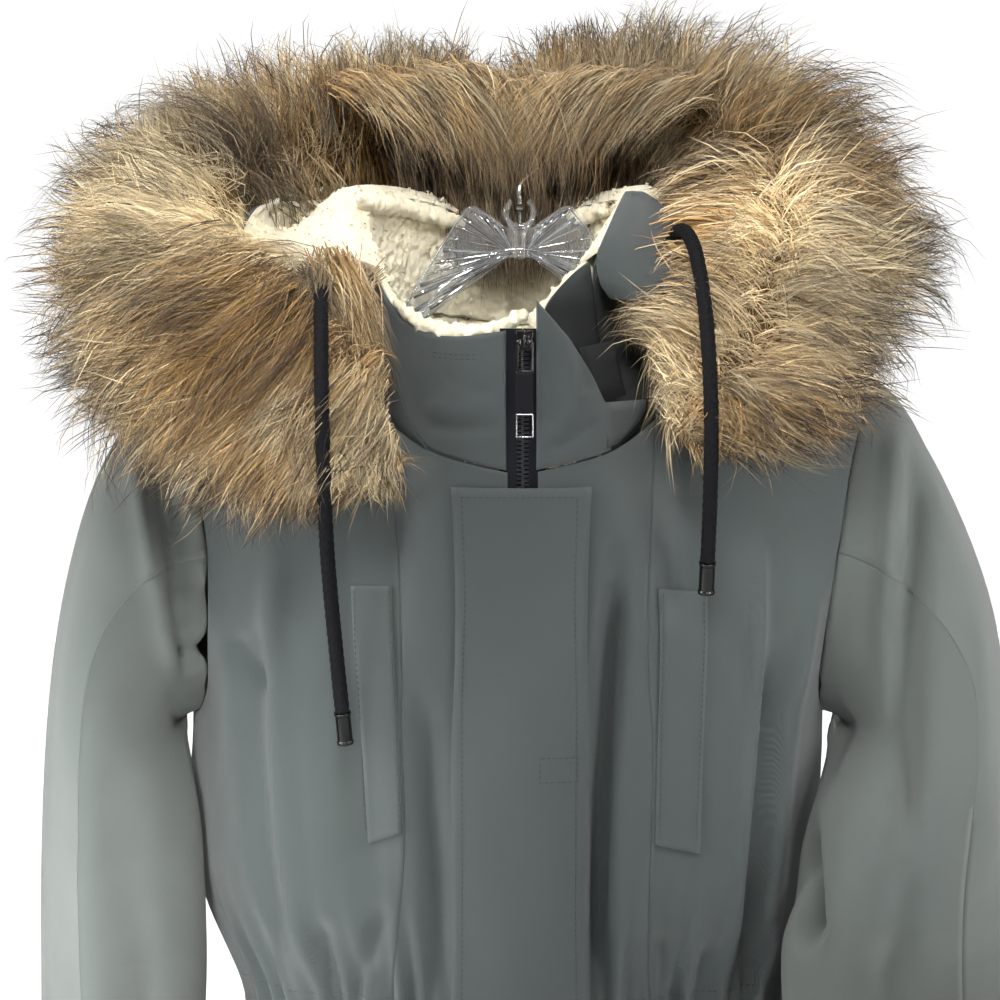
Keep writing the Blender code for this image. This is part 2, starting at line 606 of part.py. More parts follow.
def make_body(shell):
    """The body's panels and the sleeves."""
    axis = np.array(BODY_CORE)
    low = len(LOWER_HEIGHTS)
    seam_column = 1 + len(CENTRE_COLUMNS)
    shoulder_column = seam_column + len(SIDE_NECK_ANGLES)
    back_shoulder = len(BACK_NECK_ANGLES) - 1
    left_back, right_back = back_half(-1), back_half(1)
    back = np.concatenate([left_back[:, ::-1], right_back[:, 1:]], axis=1)
    back_normals = sheet_normals(back, axis)
    middle = left_back.shape[1] - 1
    backs = {-1: back_normals[:, middle::-1], 1: back_normals[:, middle:]}
    fronts, sleeves = {}, {}
    for side in (-1, 1):
        front = front_sheet(side)
        front_normals = sheet_normals(front, axis)
        share_normals(front_normals[:low, -1], backs[side][:low, -1])
        share_normals(front_normals[-1, shoulder_column:], backs[side][-1, back_shoulder:])
        sleeve = sleeve_sheet(side)
        sleeve_middle = sleeve.mean(axis=1, keepdims=True)
        sleeve_normals = sheet_normals(sleeve, sleeve_middle, closed=True)
        for step in range(ARMHOLE_STEPS + 1):
            row = low - 1 + step
            share_normals(front_normals[row, -1], sleeve_normals[0, ARMHOLE_STEPS - step])
            share_normals(backs[side][row, -1],
                          sleeve_normals[0, (ARMHOLE_STEPS + step) % (2 * ARMHOLE_STEPS)])
        front_normals[low - 1, -1] = sleeve_normals[0, ARMHOLE_STEPS]
        front_normals[-1, -1] = sleeve_normals[0, 0]
        fronts[side] = (folded(front, front_normals, FRONT_FOLDS), front_normals)
        sleeves[side] = (sleeve, sleeve_normals)
    pieces = [panel("back", folded(back, back_normals, BACK_FOLDS), back_normals, shell)]
    for side, word in ((-1, "left"), (1, "right")):
        parts = {"front_centre_": slice(None, seam_column + 1),
                 "front_side_": slice(seam_column, None)}
        for piece, columns in parts.items():
            front, normals = (grid[:, columns][:, ::side] for grid in fronts[side])
            pieces.append(panel(piece + word, front, normals, shell))
        sleeve, normals = sleeves[side]
        quarter = ARMHOLE_STEPS // 2
        order = {"sleeve_under_": list(range(quarter, 3 * quarter + 1)),
                 "sleeve_upper_": list(range(-quarter, quarter + 1))}
        for piece, columns in order.items():
            pieces.append(panel(piece + word, sleeve[:, columns], normals[:, columns], shell))
    return pieces, fronts, (back, back_normals)


def cut_rows(sheet, normals, lows, highs):
    """The part of a panel between two heights in each column, with its normals."""
    rows = np.where((sheet[:, :, 2].min(1) > max(lows) + CUT_MARGIN)
                    & (sheet[:, :, 2].max(1) < min(highs) - CUT_MARGIN))[0]
    grids = []
    for grid in (sheet, normals):
        ends = [[[np.interp(height, sheet[:, j, 2], grid[:, j, axis]) for axis in range(3)]
                 for j, height in enumerate(heights)] for heights in (lows, highs)]
        grids.append(np.concatenate([[ends[0]], grid[rows], [ends[1]]]))
    return grids


def make_flap(fronts, shell):
    """The double flap over the zip, laid on both fronts."""
    columns = CENTRE_COLUMNS.index(FLAP_EDGE) + 2
    left, left_normals = fronts[-1]
    right, right_normals = fronts[1]
    sheet = np.concatenate([left[:, columns - 1::-1], right[:, :columns]], axis=1)
    normals = np.concatenate([left_normals[:, columns - 1::-1], right_normals[:, :columns]], axis=1)
    sheet, normals = cut_rows(sheet, normals, [FLAP_END] * 2 * columns, [FLAP_TOP] * 2 * columns)
    inner = sheet + normals * LAID_LIFT
    return wall("storm_flap", inner + normals * FLAP_WALL, inner, shell)


def make_welt(name, front, welt, shell):
    """A pocket welt laid on the front, from the princess seam out."""
    sheet, normals = front
    columns = []
    for j in range(WELT_COLUMNS + 1):
        out = j / WELT_COLUMNS
        top, low = mixed(welt.top_in, welt.top_out, out), mixed(welt.low_in, welt.low_out, out)
        top_z = mixed(welt.top_in_z, welt.top_out_z, out)
        low_z = mixed(welt.low_in_z, welt.low_out_z, out)
        column = []
        for row, facing in zip(sheet, normals):
            x = mixed(low, top, np.clip((row[:, 2].mean() - low_z) / (top_z - low_z), 0, 1))
            column.append([[np.interp(x, abs(row[:, 0]), grid[:, axis]) for axis in range(3)]
                           for grid in (row, facing)])
        columns.append(column)
    laid = np.array(columns).transpose(2, 1, 0, 3)
    places = np.arange(WELT_COLUMNS + 1) / WELT_COLUMNS
    laid, facing = cut_rows(laid[0], laid[1], mixed(welt.low_in_z, welt.low_out_z, places),
                            mixed(welt.top_in_z, welt.top_out_z, places))
    if sheet[0, -1, 0] < 0:
        laid, facing = laid[:, ::-1], facing[:, ::-1]
    inner = laid + facing * LAID_LIFT
    return wall(name, inner + facing * CLOTH, inner, shell)


# ---------------------------------------------------------------- stand and hood

def around(bearing, radius, height):
    """A point by its bearing round the neck, from centre front by the left."""
    turn = math.radians(bearing)
    return (-radius * math.sin(turn), NECK_MIDDLE - radius * math.cos(turn), height)


def neck_seam(bearing):
    """The stand's foot at a bearing, just above the body's own neck edge."""
    side = -1 if bearing < 180 else 1
    angles = neck_angles(side) + list(BACK_NECK_ANGLES[-2::-1])
    corners = np.array([neck_point(angle, side) for angle in angles])
    point = [np.interp(180 - abs(180 - bearing), angles, corners[:, axis]) for axis in range(3)]
    return (point[0], point[1], point[2] + FOOT_LIFT)


def stand_column(neck_bearing, top_bearing):
    """The stand's outer side at one place, from the neck seam to its top edge."""
    points = [neck_seam(neck_bearing)]
    for part, share in (("band", 0.3), ("tuck", 0.65), ("top", 1.0)):
        bearing = mixed(neck_bearing, top_bearing, share)
        points.append(around(bearing, reading(STANDS, part + "_r", bearing),
                             reading(STANDS, part + "_z", bearing)))
    return points


def ruff_frame(place):
    """The fur's middle, outward direction and crosswise direction at a place."""
    def middle(where):
        return np.array([reading(RUFFS, axis, where) for axis in "xyz"])
    here = middle(place)
    along = unit(middle(min(place + 0.05, 15.0)) - middle(max(place - 0.05, 0.0)))
    flat = unit(np.array([here[0], here[1] - NECK_MIDDLE, 0.0]))
    lean = math.radians(reading(RUFFS, "lean", place))
    out = flat * math.cos(lean) + np.array([0, 0, 1]) * math.sin(lean)
    out = unit(out - along * np.dot(out, along))
    return here, out, np.cross(along, out)


def hood_edge(place):
    """The hood's free edge, where the fur is sewn on."""
    here, out, _ = ruff_frame(place)
    return here - out * (reading(RUFFS, "spread", place) + EDGE_GAP)


def hood_columns():
    """The hood's outer side: columns from the left front round to the right front."""
    places = np.linspace(HOOD_FIRST, HOOD_LAST, HOOD_COLUMNS + 1)
    edges = [hood_edge(place) for place in places]
    bearings = [math.degrees(math.atan2(-edge[0], NECK_MIDDLE - edge[1])) % 360 for edge in edges]
    spread = (RIGHT_SEAM - LEFT_SEAM) / (bearings[-1] - bearings[0])
    columns = []
    for edge, bearing in zip(edges, bearings):
        stand = stand_column(LEFT_SEAM + (bearing - bearings[0]) * spread, bearing)
        radius, height = reading(STANDS, "top_r", bearing), reading(STANDS, "top_z", bearing)
        sag = reading(STANDS, "sag", bearing)
        ridge = np.array(around(bearing, radius + ROLL, height + ROLL * 0.7))
        over = np.array(around(bearing, radius + 2 * ROLL, height - ROLL * 0.5))
        bulge = np.array(around(bearing, 1, 0)) - np.array(around(bearing, 0, 0))
        down = np.array([0, 0, -1.0])
        hang = [mixed(over, edge, row.share) + down * sag * row.drop + bulge * sag * row.bulge
                for row in POUCH]
        columns.append(stand + [ridge, over, *hang, edge])
    return np.array(columns).transpose(1, 0, 2), bearings


def make_stand_and_hood(shell, sherpa):
    """The collar's fronts, the folded wing, the hood, and the sherpa inside them."""
    hood, bearings = hood_columns()
    stand_rows = 4
    left = [stand_column(bearing, mixed(LEFT_FRONT_BEARINGS[0], bearings[0],
                                        (bearing - LEFT_FRONT_BEARINGS[0])
                                        / (LEFT_SEAM - LEFT_FRONT_BEARINGS[0])))
            for bearing in LEFT_FRONT_BEARINGS]
    wing = [stand_column(bearing, mixed(bearings[-1], WING_BEARINGS[-1] + 1.5,
                                        (bearing - RIGHT_SEAM) / (WING_BEARINGS[-1] - RIGHT_SEAM)))
            for bearing in WING_BEARINGS]
    left = np.array(left).transpose(1, 0, 2)
    wing = np.array(wing).transpose(1, 0, 2)
    stand = np.concatenate([left[:, :-1], hood[:stand_rows], wing[:, 1:]], axis=1)
    core = np.array([0.0, NECK_MIDDLE, STAND_CORE])
    stand_normals = sheet_normals(stand, core)
    hood_normals = sheet_normals(hood, core)
    hood_normals *= np.sign(np.sum(hood_normals[0] * stand_normals[0, 4:4 + hood.shape[1]]))
    first, last = len(LEFT_FRONT_BEARINGS) - 1, len(LEFT_FRONT_BEARINGS) - 1 + HOOD_COLUMNS
    half = HOOD_COLUMNS // 2
    share_normals(hood_normals[:stand_rows, 0], stand_normals[:, first])
    share_normals(hood_normals[:stand_rows, -1], stand_normals[:, last])
    tuck = 2
    inside = CLOTH + LINING_LAYER
    pieces = [
        panel("collar_front_left", stand[:, :first + 1], stand_normals[:, :first + 1], shell),
        panel("hood_left", hood[:, :half + 1], hood_normals[:, :half + 1], shell),
        panel("hood_right", hood[:, half:], hood_normals[:, half:], shell),
        panel("collar_wing_right", stand[tuck:, last:], stand_normals[tuck:, last:], shell),
        panel("collar_lining", stand[:, 1:], stand_normals[:, 1:], sherpa, inside, PILE),
        panel("hood_lining", hood[stand_rows - 1:], hood_normals[stand_rows - 1:], sherpa,
              inside, PILE),
    ]
    rows = 4
    columns = []
    for bearing, height in RIGHT_FRONT_TOP:
        foot = neck_seam(bearing)[2]
        columns.append([around(bearing, NECK_RADIUS + RIGHT_FRONT_BELLY
                               * math.sin(math.pi * row / rows), mixed(foot, height, row / rows))
                        for row in range(rows + 1)])
    front = np.array(columns).transpose(1, 0, 2)
    pieces.append(panel("collar_front_right", front, sheet_normals(front, core), shell))
    return pieces


def make_neck_facing(back, sherpa):
    """The sherpa strip inside the back, below the neck seam."""
    sheet, normals = back
    middle = sheet.shape[1] // 2
    reach = FACING_REACH
    part = sheet[-3:, middle - reach:middle + reach + 1]
    facing = normals[-3:, middle - reach:middle + reach + 1]
    return panel("back_neck_facing", part, facing, sherpa, CLOTH + LAYER, PILE * 0.8)


# ---------------------------------------------------------------- fur

def make_fur(name, start, end, tree, look):
    """One side of the fur trim: a tufted body round the hood's edge."""
    rings = []
    for i in range(FUR_RINGS + 1):
        share = i / FUR_RINGS
        place = mixed(start, end, share)
        here, out, cross = ruff_frame(place)
        spread, loft = reading(RUFFS, "spread", place), reading(RUFFS, "loft", place)
        taper = min(1.0, 0.35 + 1.9 * math.sqrt(min(share, 1 - share)))
        ring = []
        for j in range(FUR_SIDES):
            turn = 2 * math.pi * (j + 0.5 * (i % 2)) / FUR_SIDES
            tuft = 1 + TUFT * (((5 * i + 7 * j + i * j) % 7) / 3 - 1) * (0.5 + 0.5 * math.cos(turn))
            point = here + out * math.cos(turn) * spread * taper * tuft
            point = point + cross * math.sin(turn) * loft * taper * tuft
            ring.append(kept_clear(tree, here, point, FUR_CLEAR))
        rings.append(ring)
    tube_solid(name, np.array(rings), look)


# ---------------------------------------------------------------- drawcords

def make_cord(name, route, look):
    """A round cord along a route."""
    length = sum(math.dist(a, b) for a, b in zip(route, route[1:]))
    points = spline(route, round(length / CORD_STEP) + 1)
    curve = bpy.data.curves.new(name, "CURVE")
    curve.dimensions = "3D"
    curve.bevel_depth = CORD_RADIUS
    curve.bevel_resolution = 2
    curve.use_fill_caps = True
    line = curve.splines.new("POLY")
    line.points.add(len(points) - 1)
    for place, point in zip(line.points, points):
        place.co = (*point, 1.0)
    curve.materials.append(look)
    bpy.context.scene.collection.objects.link(bpy.data.objects.new(name, curve))
    return points


def make_cord_end(name, points, look):
    """The barrel on a cord's free end, in line with the cord."""
    way = Vector(points[-1] - points[-2]).normalized()
    centre = Vector(points[-1]) + way * (SMALL_GAP + END_LENGTH / 2)
    bpy.ops.mesh.primitive_cylinder_add(vertices=16, radius=END_RADIUS, depth=END_LENGTH,
                                        location=centre)
    made = bpy.context.active_object
    made.name = name
    made.rotation_euler = way.to_track_quat("Z", "Y").to_euler()
    made.data.materials.append(look)
    edge = made.modifiers.new("rounded rims", "BEVEL")
    edge.width = END_BEVEL
    edge.segments = 1
    edge.limit_method = "ANGLE"
    made.data.shade_smooth()
    made.data.set_sharp_from_angle(angle=math.radians(40))


# ---------------------------------------------------------------- zip

def front_line(height):
    """How far forward the cloth stands at centre front."""
    return reading(LEVELS, "middle", height) - reading(LEVELS, "front", height)


def make_tapes(look):
    """The zip's two tapes, behind the edges of the fronts."""
    heights = [TAPE_TOP, -0.150, -0.175, -0.2075, -0.256, -0.305, *LOWER_HEIGHTS[::-1]]
    heights[-1] = HEM + 0.002
    for side, word in ((-1, "left"), (1, "right")):
        inner_x = ZIP_CENTRE + side * SMALL_GAP / 2
        outer_x = ZIP_CENTRE + side * TAPE_HALF
        front = []
        for height in heights:
            y = front_line(max(height, HEM)) + CLOTH + TAPE_GAP
            front.append([(x, y + x * x / (2 * NECK_RADIUS), height) for x in (inner_x, outer_x)])
        front = np.array(front)
        wall("zip_tape_" + word, front, front + np.array([0, TAPE_WALL, 0]), look)


def block(name, low, high, look):
    """A block between two corners, its edges eased."""
    points = [(x, y, z) for x in (low[0], high[0]) for y in (low[1], high[1])
              for z in (low[2], high[2])]
    faces = [(0, 1, 3, 2), (4, 5, 7, 6), (0, 1, 5, 4), (2, 3, 7, 6), (0, 2, 6, 4), (1, 3, 7, 5)]
    made = solid(name, points, faces, look, smooth=False)
    edge = made.modifiers.new("eased edges", "BEVEL")
    edge.width = BLOCK_EASE
    edge.segments = 1
    return made


def make_slider(look):
    """The slider's body with the arch that the puller hangs in."""
    front = HINGE_Y + PULL_BAR / 2 + SLIDER_CLEAR
    back = front_line(SLIDER_TOP) + CLOTH + TAPE_GAP - SMALL_GAP
    low = (SLIDER_X - SLIDER_WIDTH / 2, front, SLIDER_TOP - SLIDER_HEIGHT)
    high = (SLIDER_X + SLIDER_WIDTH / 2, back, SLIDER_TOP)
    made = block("zip_slider", low, high, look)
    arch = []
    for turn in range(ARCH_SIDES):
        angle = 2 * math.pi * turn / ARCH_SIDES
        arch.append((math.cos(angle), math.sin(angle)))
    points, faces = [], []
    for x in (-ARCH_WIDTH / 2, ARCH_WIDTH / 2):
        for radius in (ARCH_HOLE / 2, ARCH_HOLE / 2 + ARCH_WALL):
            points += [(SLIDER_X + x, HINGE_Y + radius * y, HINGE_Z + radius * z) for y, z in arch]
    for j in range(ARCH_SIDES):
        k = (j + 1) % ARCH_SIDES
        loops = [(first * ARCH_SIDES + j, first * ARCH_SIDES + k) for first in (0, 1, 3, 2)]
        for (a, b), (c, d) in zip(loops, loops[1:] + loops[:1]):
            faces.append((a, b, d, c))
    ring = solid("arch", points, faces, look)
    ring.hide_render = True
    ring.display_type = "WIRE"
    join = made.modifiers.new("arch", "BOOLEAN")
    join.operation = "UNION"
    join.object = ring


def make_pull(look):
    """The puller: a frame that hangs in the arch, a strap, and the frame at its end."""
    frame_end = PULL_BAR / 2 - PULL_FRAME
    strap_end = frame_end - PULL_STRAP
    end = strap_end - PULL_END
    across = (-PULL_WIDTH / 2, -PULL_WIDTH / 2 + PULL_BAR, PULL_WIDTH / 2 - PULL_BAR, PULL_WIDTH / 2)
    down = (PULL_BAR / 2, -PULL_BAR / 2, frame_end + PULL_BAR, frame_end, strap_end, end)
    mesh = bpy.data.meshes.new("zip_pull")
    shape = bmesh.new()
    grid = [[shape.verts.new((x, -PULL_BAR / 2, z)) for x in across] for z in down]
    for i in range(len(down) - 1):
        for j in range(len(across) - 1):
            if (i, j) != (1, 1):
                shape.faces.new([grid[i][j], grid[i + 1][j], grid[i + 1][j + 1], grid[i][j + 1]])
    pushed = bmesh.ops.extrude_face_region(shape, geom=shape.faces[:])
    corners = [part for part in pushed["geom"] if isinstance(part, bmesh.types.BMVert)]
    bmesh.ops.translate(shape, verts=corners, vec=(0, PULL_BAR, 0))
    bmesh.ops.recalc_face_normals(shape, faces=shape.faces)
    shape.to_mesh(mesh)
    shape.free()
    mesh.materials.append(look)
    made = bpy.data.objects.new("zip_pull", mesh)
    made.location = (SLIDER_X, HINGE_Y, HINGE_Z)
    bpy.context.scene.collection.objects.link(made)


# ---------------------------------------------------------------- hanger

def wire(name, points, radii, look):
    """A wire through points, with its own radius at each."""
    curve = bpy.data.curves.new(name, "CURVE")
    curve.dimensions = "3D"
    curve.bevel_depth = HOOK_WIRE
    curve.bevel_resolution = 2
    curve.use_fill_caps = True
    line = curve.splines.new("POLY")
    line.points.add(len(points) - 1)
    for place, point, radius in zip(line.points, points, radii):
        place.co = (*point, 1.0)
        place.radius = radius / HOOK_WIRE
    curve.materials.append(look)
    bpy.context.scene.collection.objects.link(bpy.data.objects.new(name, curve))


def make_hanger_body(look):
    """The hanger's fan and its two arms, through sections along X."""
    arms = [Arm(-arm.x, *arm[1:]) for arm in ARMS[:0:-1]] + list(ARMS)
    rings = []
    for arm in arms:
        middle, half = (arm.top + arm.low) / 2, (arm.top - arm.low) / 2
        ring = []
        for j in range(ARM_SIDES):
            angle = 2 * math.pi * j / ARM_SIDES
            sine, cosine = math.sin(angle), math.cos(angle)
            y = arm.middle_y + arm.thick / 2 * math.copysign(abs(cosine) ** ARM_SQUARE, cosine)
            z = middle + half * math.copysign(abs(sine) ** ARM_SQUARE, sine)
            ring.append((arm.x, y, z))
        rings.append(ring)
    tube_solid("hanger_body", np.array(rings), look)


def make_hook(look):
    """The swivel pin, its ball, the stem and the hook, in one wire."""
    foot = RING_MIDDLE - RING_RADIUS + RING_WIRE + SMALL_GAP
    points = [(0, 0, foot), (0, 0, BALL_MIDDLE - BALL_RADIUS * 1.1)]
    radii = [PIN_RADIUS, PIN_RADIUS]
    for height in (-0.8, -0.4, 0.0, 0.4, 0.8):
        points.append((0, 0, BALL_MIDDLE + BALL_RADIUS * height))
        radii.append(BALL_RADIUS * math.sqrt(1 - height * height))
    centre = HOOK_WIRE - HOOK_RADIUS
    bend = [(0, 0, BALL_MIDDLE + BALL_RADIUS * 1.2), (0, 0, centre - HOOK_RADIUS * 1.35)]
    for step in range(HOOK_STEPS + 1):
        angle = math.radians(mixed(HOOK_START, HOOK_END, step / HOOK_STEPS))
        bend.append((HOOK_RADIUS * math.cos(angle), 0, centre + HOOK_RADIUS * math.sin(angle)))
    smooth = spline(bend, HOOK_POINTS)
    points += [tuple(point) for point in smooth]
    radii += [HOOK_WIRE] * len(smooth)
    wire("hanger_hook", points, radii, look)


def make_ring(look):
    """The ring round the swivel, open at its top for the stem."""
    start = 90 + RING_OPENING / 2
    points = []
    for step in range(RING_STEPS + 1):
        angle = math.radians(start + (360 - RING_OPENING) * step / RING_STEPS)
        points.append((RING_RADIUS * math.cos(angle), 0, RING_MIDDLE + RING_RADIUS * math.sin(angle)))
    wire("hanger_ring", points, [RING_WIRE] * len(points), look)


# ---------------------------------------------------------------- the whole coat

def make_coat():
    """Every piece, the cloth first and the fur last, fitted clear of the rest."""
    for thing in list(bpy.data.objects):
        bpy.data.objects.remove(thing)
    shell = material("olive shell", (0.135, 0.150, 0.105), 0.6)
    sherpa = material("cream sherpa", (0.640, 0.560, 0.430), 0.95)
    fur = material("tan fur", (0.420, 0.270, 0.130), 0.9)
    cord = material("black cord", (0.012, 0.012, 0.013), 0.8)
    metal = material("gunmetal", (0.200, 0.195, 0.190), 0.25, 1.0)
    tape = material("black tape", (0.015, 0.015, 0.016), 0.7)
    clear = material("clear plastic", (0.750, 0.780, 0.790), 0.1)

    body, fronts, back = make_body(shell)
    cloth = body + [make_flap(fronts, shell)]
    cloth.append(make_welt("welt_left", fronts[-1], LEFT_WELT, shell))
    cloth.append(make_welt("welt_right", fronts[1], RIGHT_WELT, shell))
    cloth += make_stand_and_hood(shell, sherpa)
    make_neck_facing(back, sherpa)
    make_tapes(tape)
    make_slider(metal)
    make_pull(metal)
    make_hanger_body(clear)
    make_ring(clear)
    make_hook(clear)
    for side, route in (("left", LEFT_CORD), ("right", RIGHT_CORD)):
        make_cord_end("cord_end_" + side, make_cord("drawcord_" + side, route, cord), metal)

    tree = tree_of(cloth)
    ends = (RUFFS[0].place, PARTING - PARTING_GAP, PARTING + PARTING_GAP, RUFFS[-1].place)
    make_fur("fur_trim_left", ends[0], ends[1], tree, fur)
    make_fur("fur_trim_right", ends[2], ends[3], tree, fur)


make_coat()
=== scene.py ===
# Fur trimmed parka on a clear hanger: cloth, pile, fur, cords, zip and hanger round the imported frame.
# Metres, +Z up, the coat's front to -Y, and "left" is -X, as seen from the front.
import math

import bmesh
import bpy
import numpy as np
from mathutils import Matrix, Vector, noise
from mathutils.bvhtree import BVHTree


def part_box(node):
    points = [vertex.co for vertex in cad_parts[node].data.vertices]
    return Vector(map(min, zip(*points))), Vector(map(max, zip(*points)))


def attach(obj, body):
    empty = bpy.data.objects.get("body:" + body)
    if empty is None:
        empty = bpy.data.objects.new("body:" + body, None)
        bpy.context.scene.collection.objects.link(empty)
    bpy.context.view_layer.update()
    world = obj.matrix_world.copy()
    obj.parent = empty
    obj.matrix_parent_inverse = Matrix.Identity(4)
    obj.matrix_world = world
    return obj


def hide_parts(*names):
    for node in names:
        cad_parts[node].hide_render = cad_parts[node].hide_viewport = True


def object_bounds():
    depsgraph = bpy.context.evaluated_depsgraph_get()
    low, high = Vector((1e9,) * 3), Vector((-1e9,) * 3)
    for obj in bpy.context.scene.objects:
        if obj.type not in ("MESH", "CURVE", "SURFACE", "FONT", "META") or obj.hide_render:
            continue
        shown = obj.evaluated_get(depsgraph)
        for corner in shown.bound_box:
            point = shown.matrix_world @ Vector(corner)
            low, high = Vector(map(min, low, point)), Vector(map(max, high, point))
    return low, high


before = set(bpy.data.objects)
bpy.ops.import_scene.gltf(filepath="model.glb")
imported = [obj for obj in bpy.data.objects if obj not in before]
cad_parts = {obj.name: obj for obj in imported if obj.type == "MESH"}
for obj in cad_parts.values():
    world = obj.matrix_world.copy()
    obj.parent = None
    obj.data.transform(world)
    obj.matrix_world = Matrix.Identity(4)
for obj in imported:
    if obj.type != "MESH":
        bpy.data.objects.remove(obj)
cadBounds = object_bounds()
bpy.ops.object.select_all(action="DESELECT")


# camera first, then the cords

cameraView = {
    "target": (-0.0115, -0.138, -0.221),
    "distance": 2.0,
    "elevation": 4.0,
    "frameWidth": 0.550,
    "sensor": 36.0,
}


def makeCamera(view):
    tilt = math.radians(view["elevation"])
    data = bpy.data.cameras.new("camera")
    data.sensor_width = view["sensor"]
    data.lens = view["sensor"] * view["distance"] / view["frameWidth"]
    camera = bpy.data.objects.new("camera", data)
    away = Vector((0, -math.cos(tilt), math.sin(tilt))) * view["distance"]
    camera.location = Vector(view["target"]) + away
    camera.rotation_euler = (math.pi / 2 - tilt, 0, 0)
    bpy.context.scene.collection.objects.link(camera)
    bpy.context.scene.camera = camera


# small tools

def unit(vectors):
    return vectors / np.maximum(np.linalg.norm(vectors, axis=-1, keepdims=True), 1e-12)


def smoothStep(low, high, value):
    share = np.clip((value - low) / (high - low), 0, 1)
    return share * share * (3 - 2 * share)


def hump(values, middle, width):
    return np.exp(-((values - middle) / width) ** 2)


def stepLengths(path):
    return np.linalg.norm(np.diff(path, axis=0), axis=1)


def runOf(path):
    return np.concatenate([[0], np.cumsum(stepLengths(path))])


def readAt(places, run, rows):
    # each column of the rows, read at places along their run
    rows = np.asarray(rows)
    return [np.interp(places, run, rows[:, column]) for column in range(rows.shape[1])]


def smoothCurve(points, count):
    # a smooth curve through the given points, read at even steps
    points = np.array(points, float)
    ends = np.vstack([2 * points[0] - points[1], points, 2 * points[-1] - points[-2]])
    dense = []
    for k in range(1, len(ends) - 2):
        a, b, c, d = ends[k - 1:k + 3]
        for step in np.linspace(0, 1, 24, endpoint=False):
            dense.append(0.5 * (2 * b + (c - a) * step + (2 * a - 5 * b + 4 * c - d) * step ** 2
                                + (3 * b - a - 3 * c + d) * step ** 3))
    dense = np.array(dense + [points[-1]])
    run = runOf(dense)
    return np.column_stack(readAt(np.linspace(0, run[-1], count), run, dense))


def link(name, mesh, material):
    mesh.materials.clear()
    mesh.materials.append(material)
    piece = bpy.data.objects.new(name, mesh)
    bpy.context.scene.collection.objects.link(piece)
    return piece


def meshFrom(name, points, faces, material, smooth=True):
    mesh = bpy.data.meshes.new(name)
    mesh.from_pydata([tuple(point) for point in points], [], faces)
    if smooth:
        mesh.shade_smooth()
    return link(name, mesh, material)


def coordinates(mesh):
    flat = np.empty(len(mesh.vertices) * 3)
    mesh.vertices.foreach_get("co", flat)
    return flat.reshape(-1, 3)


def setCoordinates(mesh, points):
    mesh.vertices.foreach_set("co", np.ascontiguousarray(points).ravel())
    mesh.update()


def vertexNormals(mesh):
    flat = np.empty(len(mesh.vertices) * 3)
    mesh.vertices.foreach_get("normal", flat)
    return flat.reshape(-1, 3)


def reshape(piece, change):
    shape = bmesh.new()
    shape.from_mesh(piece.data)
    change(shape)
    shape.to_mesh(piece.data)
    shape.free()


def facedOutwards(piece):
    reshape(piece, lambda shape: bmesh.ops.recalc_face_normals(shape, faces=shape.faces))
    return piece


def smoothTo(piece, degrees):
    piece.data.shade_smooth()
    piece.data.set_sharp_from_angle(angle=math.radians(degrees))
    return piece


def addModifier(piece, name, kind, **settings):
    modifier = piece.modifiers.new(name, kind)
    for key, value in settings.items():
        setattr(modifier, key, value)


def selectOnly(pieces):
    bpy.ops.object.select_all(action="DESELECT")
    for piece in pieces:
        piece.select_set(True)
    bpy.context.view_layer.objects.active = pieces[0]


def dressed(piece, node=None, body="root"):
    # the CAD node that a piece replaces, and the body it moves with
    if node:
        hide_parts(node)
    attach(piece, body)
    return piece


def treeOf(pieces):
    points, faces = [], []
    for piece in pieces:
        first = len(points)
        points += [tuple(vertex.co) for vertex in piece.data.vertices]
        faces += [[first + index for index in face.vertices] for face in piece.data.polygons]
    return BVHTree.FromPolygons(points, faces)


def nodesOf(*names):
    return [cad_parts[name] for name in names]


def pointsOf(*names):
    return np.concatenate([coordinates(node.data) for node in nodesOf(*names)])


def sleeveNodes(side):
    return [f"sleeve_{part}_{side}" for part in ("under", "upper")]


def gridFaces(rows, columns):
    starts = [row * columns + step for row in range(rows - 1) for step in range(columns - 1)]
    return [(first, first + columns, first + columns + 1, first + 1) for first in starts]


def tubeFaces(count, around):
    # quads from ring to ring, then a fan to a point at each end
    faces = []
    for i in range(count - 1):
        for j in range(around):
            k = (j + 1) % around
            faces.append((i * around + j, i * around + k, (i + 1) * around + k, (i + 1) * around + j))
    last = (count - 1) * around
    for j in range(around):
        k = (j + 1) % around
        faces += [(count * around, k, j), (count * around + 1, last + j, last + k)]
    return faces


def frameAlong(path):
    # a tangent and two crosswise directions at each point, carried along without twist
    tangents = unit(np.gradient(path, axis=0))
    sides = [unit(np.cross(tangents[0], (0.0, 1.0, 0.3)))]
    for tangent in tangents[1:]:
        sides.append(unit(sides[-1] - tangent * np.dot(sides[-1], tangent)))
    sides = np.array(sides)
    return sides, np.cross(tangents, sides)


def tubeMesh(name, path, radius, sides, material):
    # radius has a row for each point of the path, and one value or one for each side
    across, up = frameAlong(path)
    angles = np.arange(sides) * math.tau / sides
    rings = path[:, None] + radius[..., None] * (across[:, None] * np.cos(angles)[None, :, None]
                                                 + up[:, None] * np.sin(angles)[None, :, None])
    points = list(rings.reshape(-1, 3)) + [path[0], path[-1]]
    return meshFrom(name, points, tubeFaces(len(path), sides), material)


def rodMesh(name, path, radii, sides, material):
    path = np.array(path, float)
    return tubeMesh(name, path, np.broadcast_to(radii, len(path))[:, None], sides, material)


def applyAll(piece):
    selectOnly([piece])
    for modifier in list(piece.modifiers):
        bpy.ops.object.modifier_apply(modifier=modifier.name)
    piece.select_set(False)


def bevelled(piece, width, segments=3, degrees=40):
    addModifier(piece, "rounded edges", "BEVEL", width=width, segments=segments, limit_method="ANGLE")
    applyAll(piece)
    return smoothTo(piece, degrees)


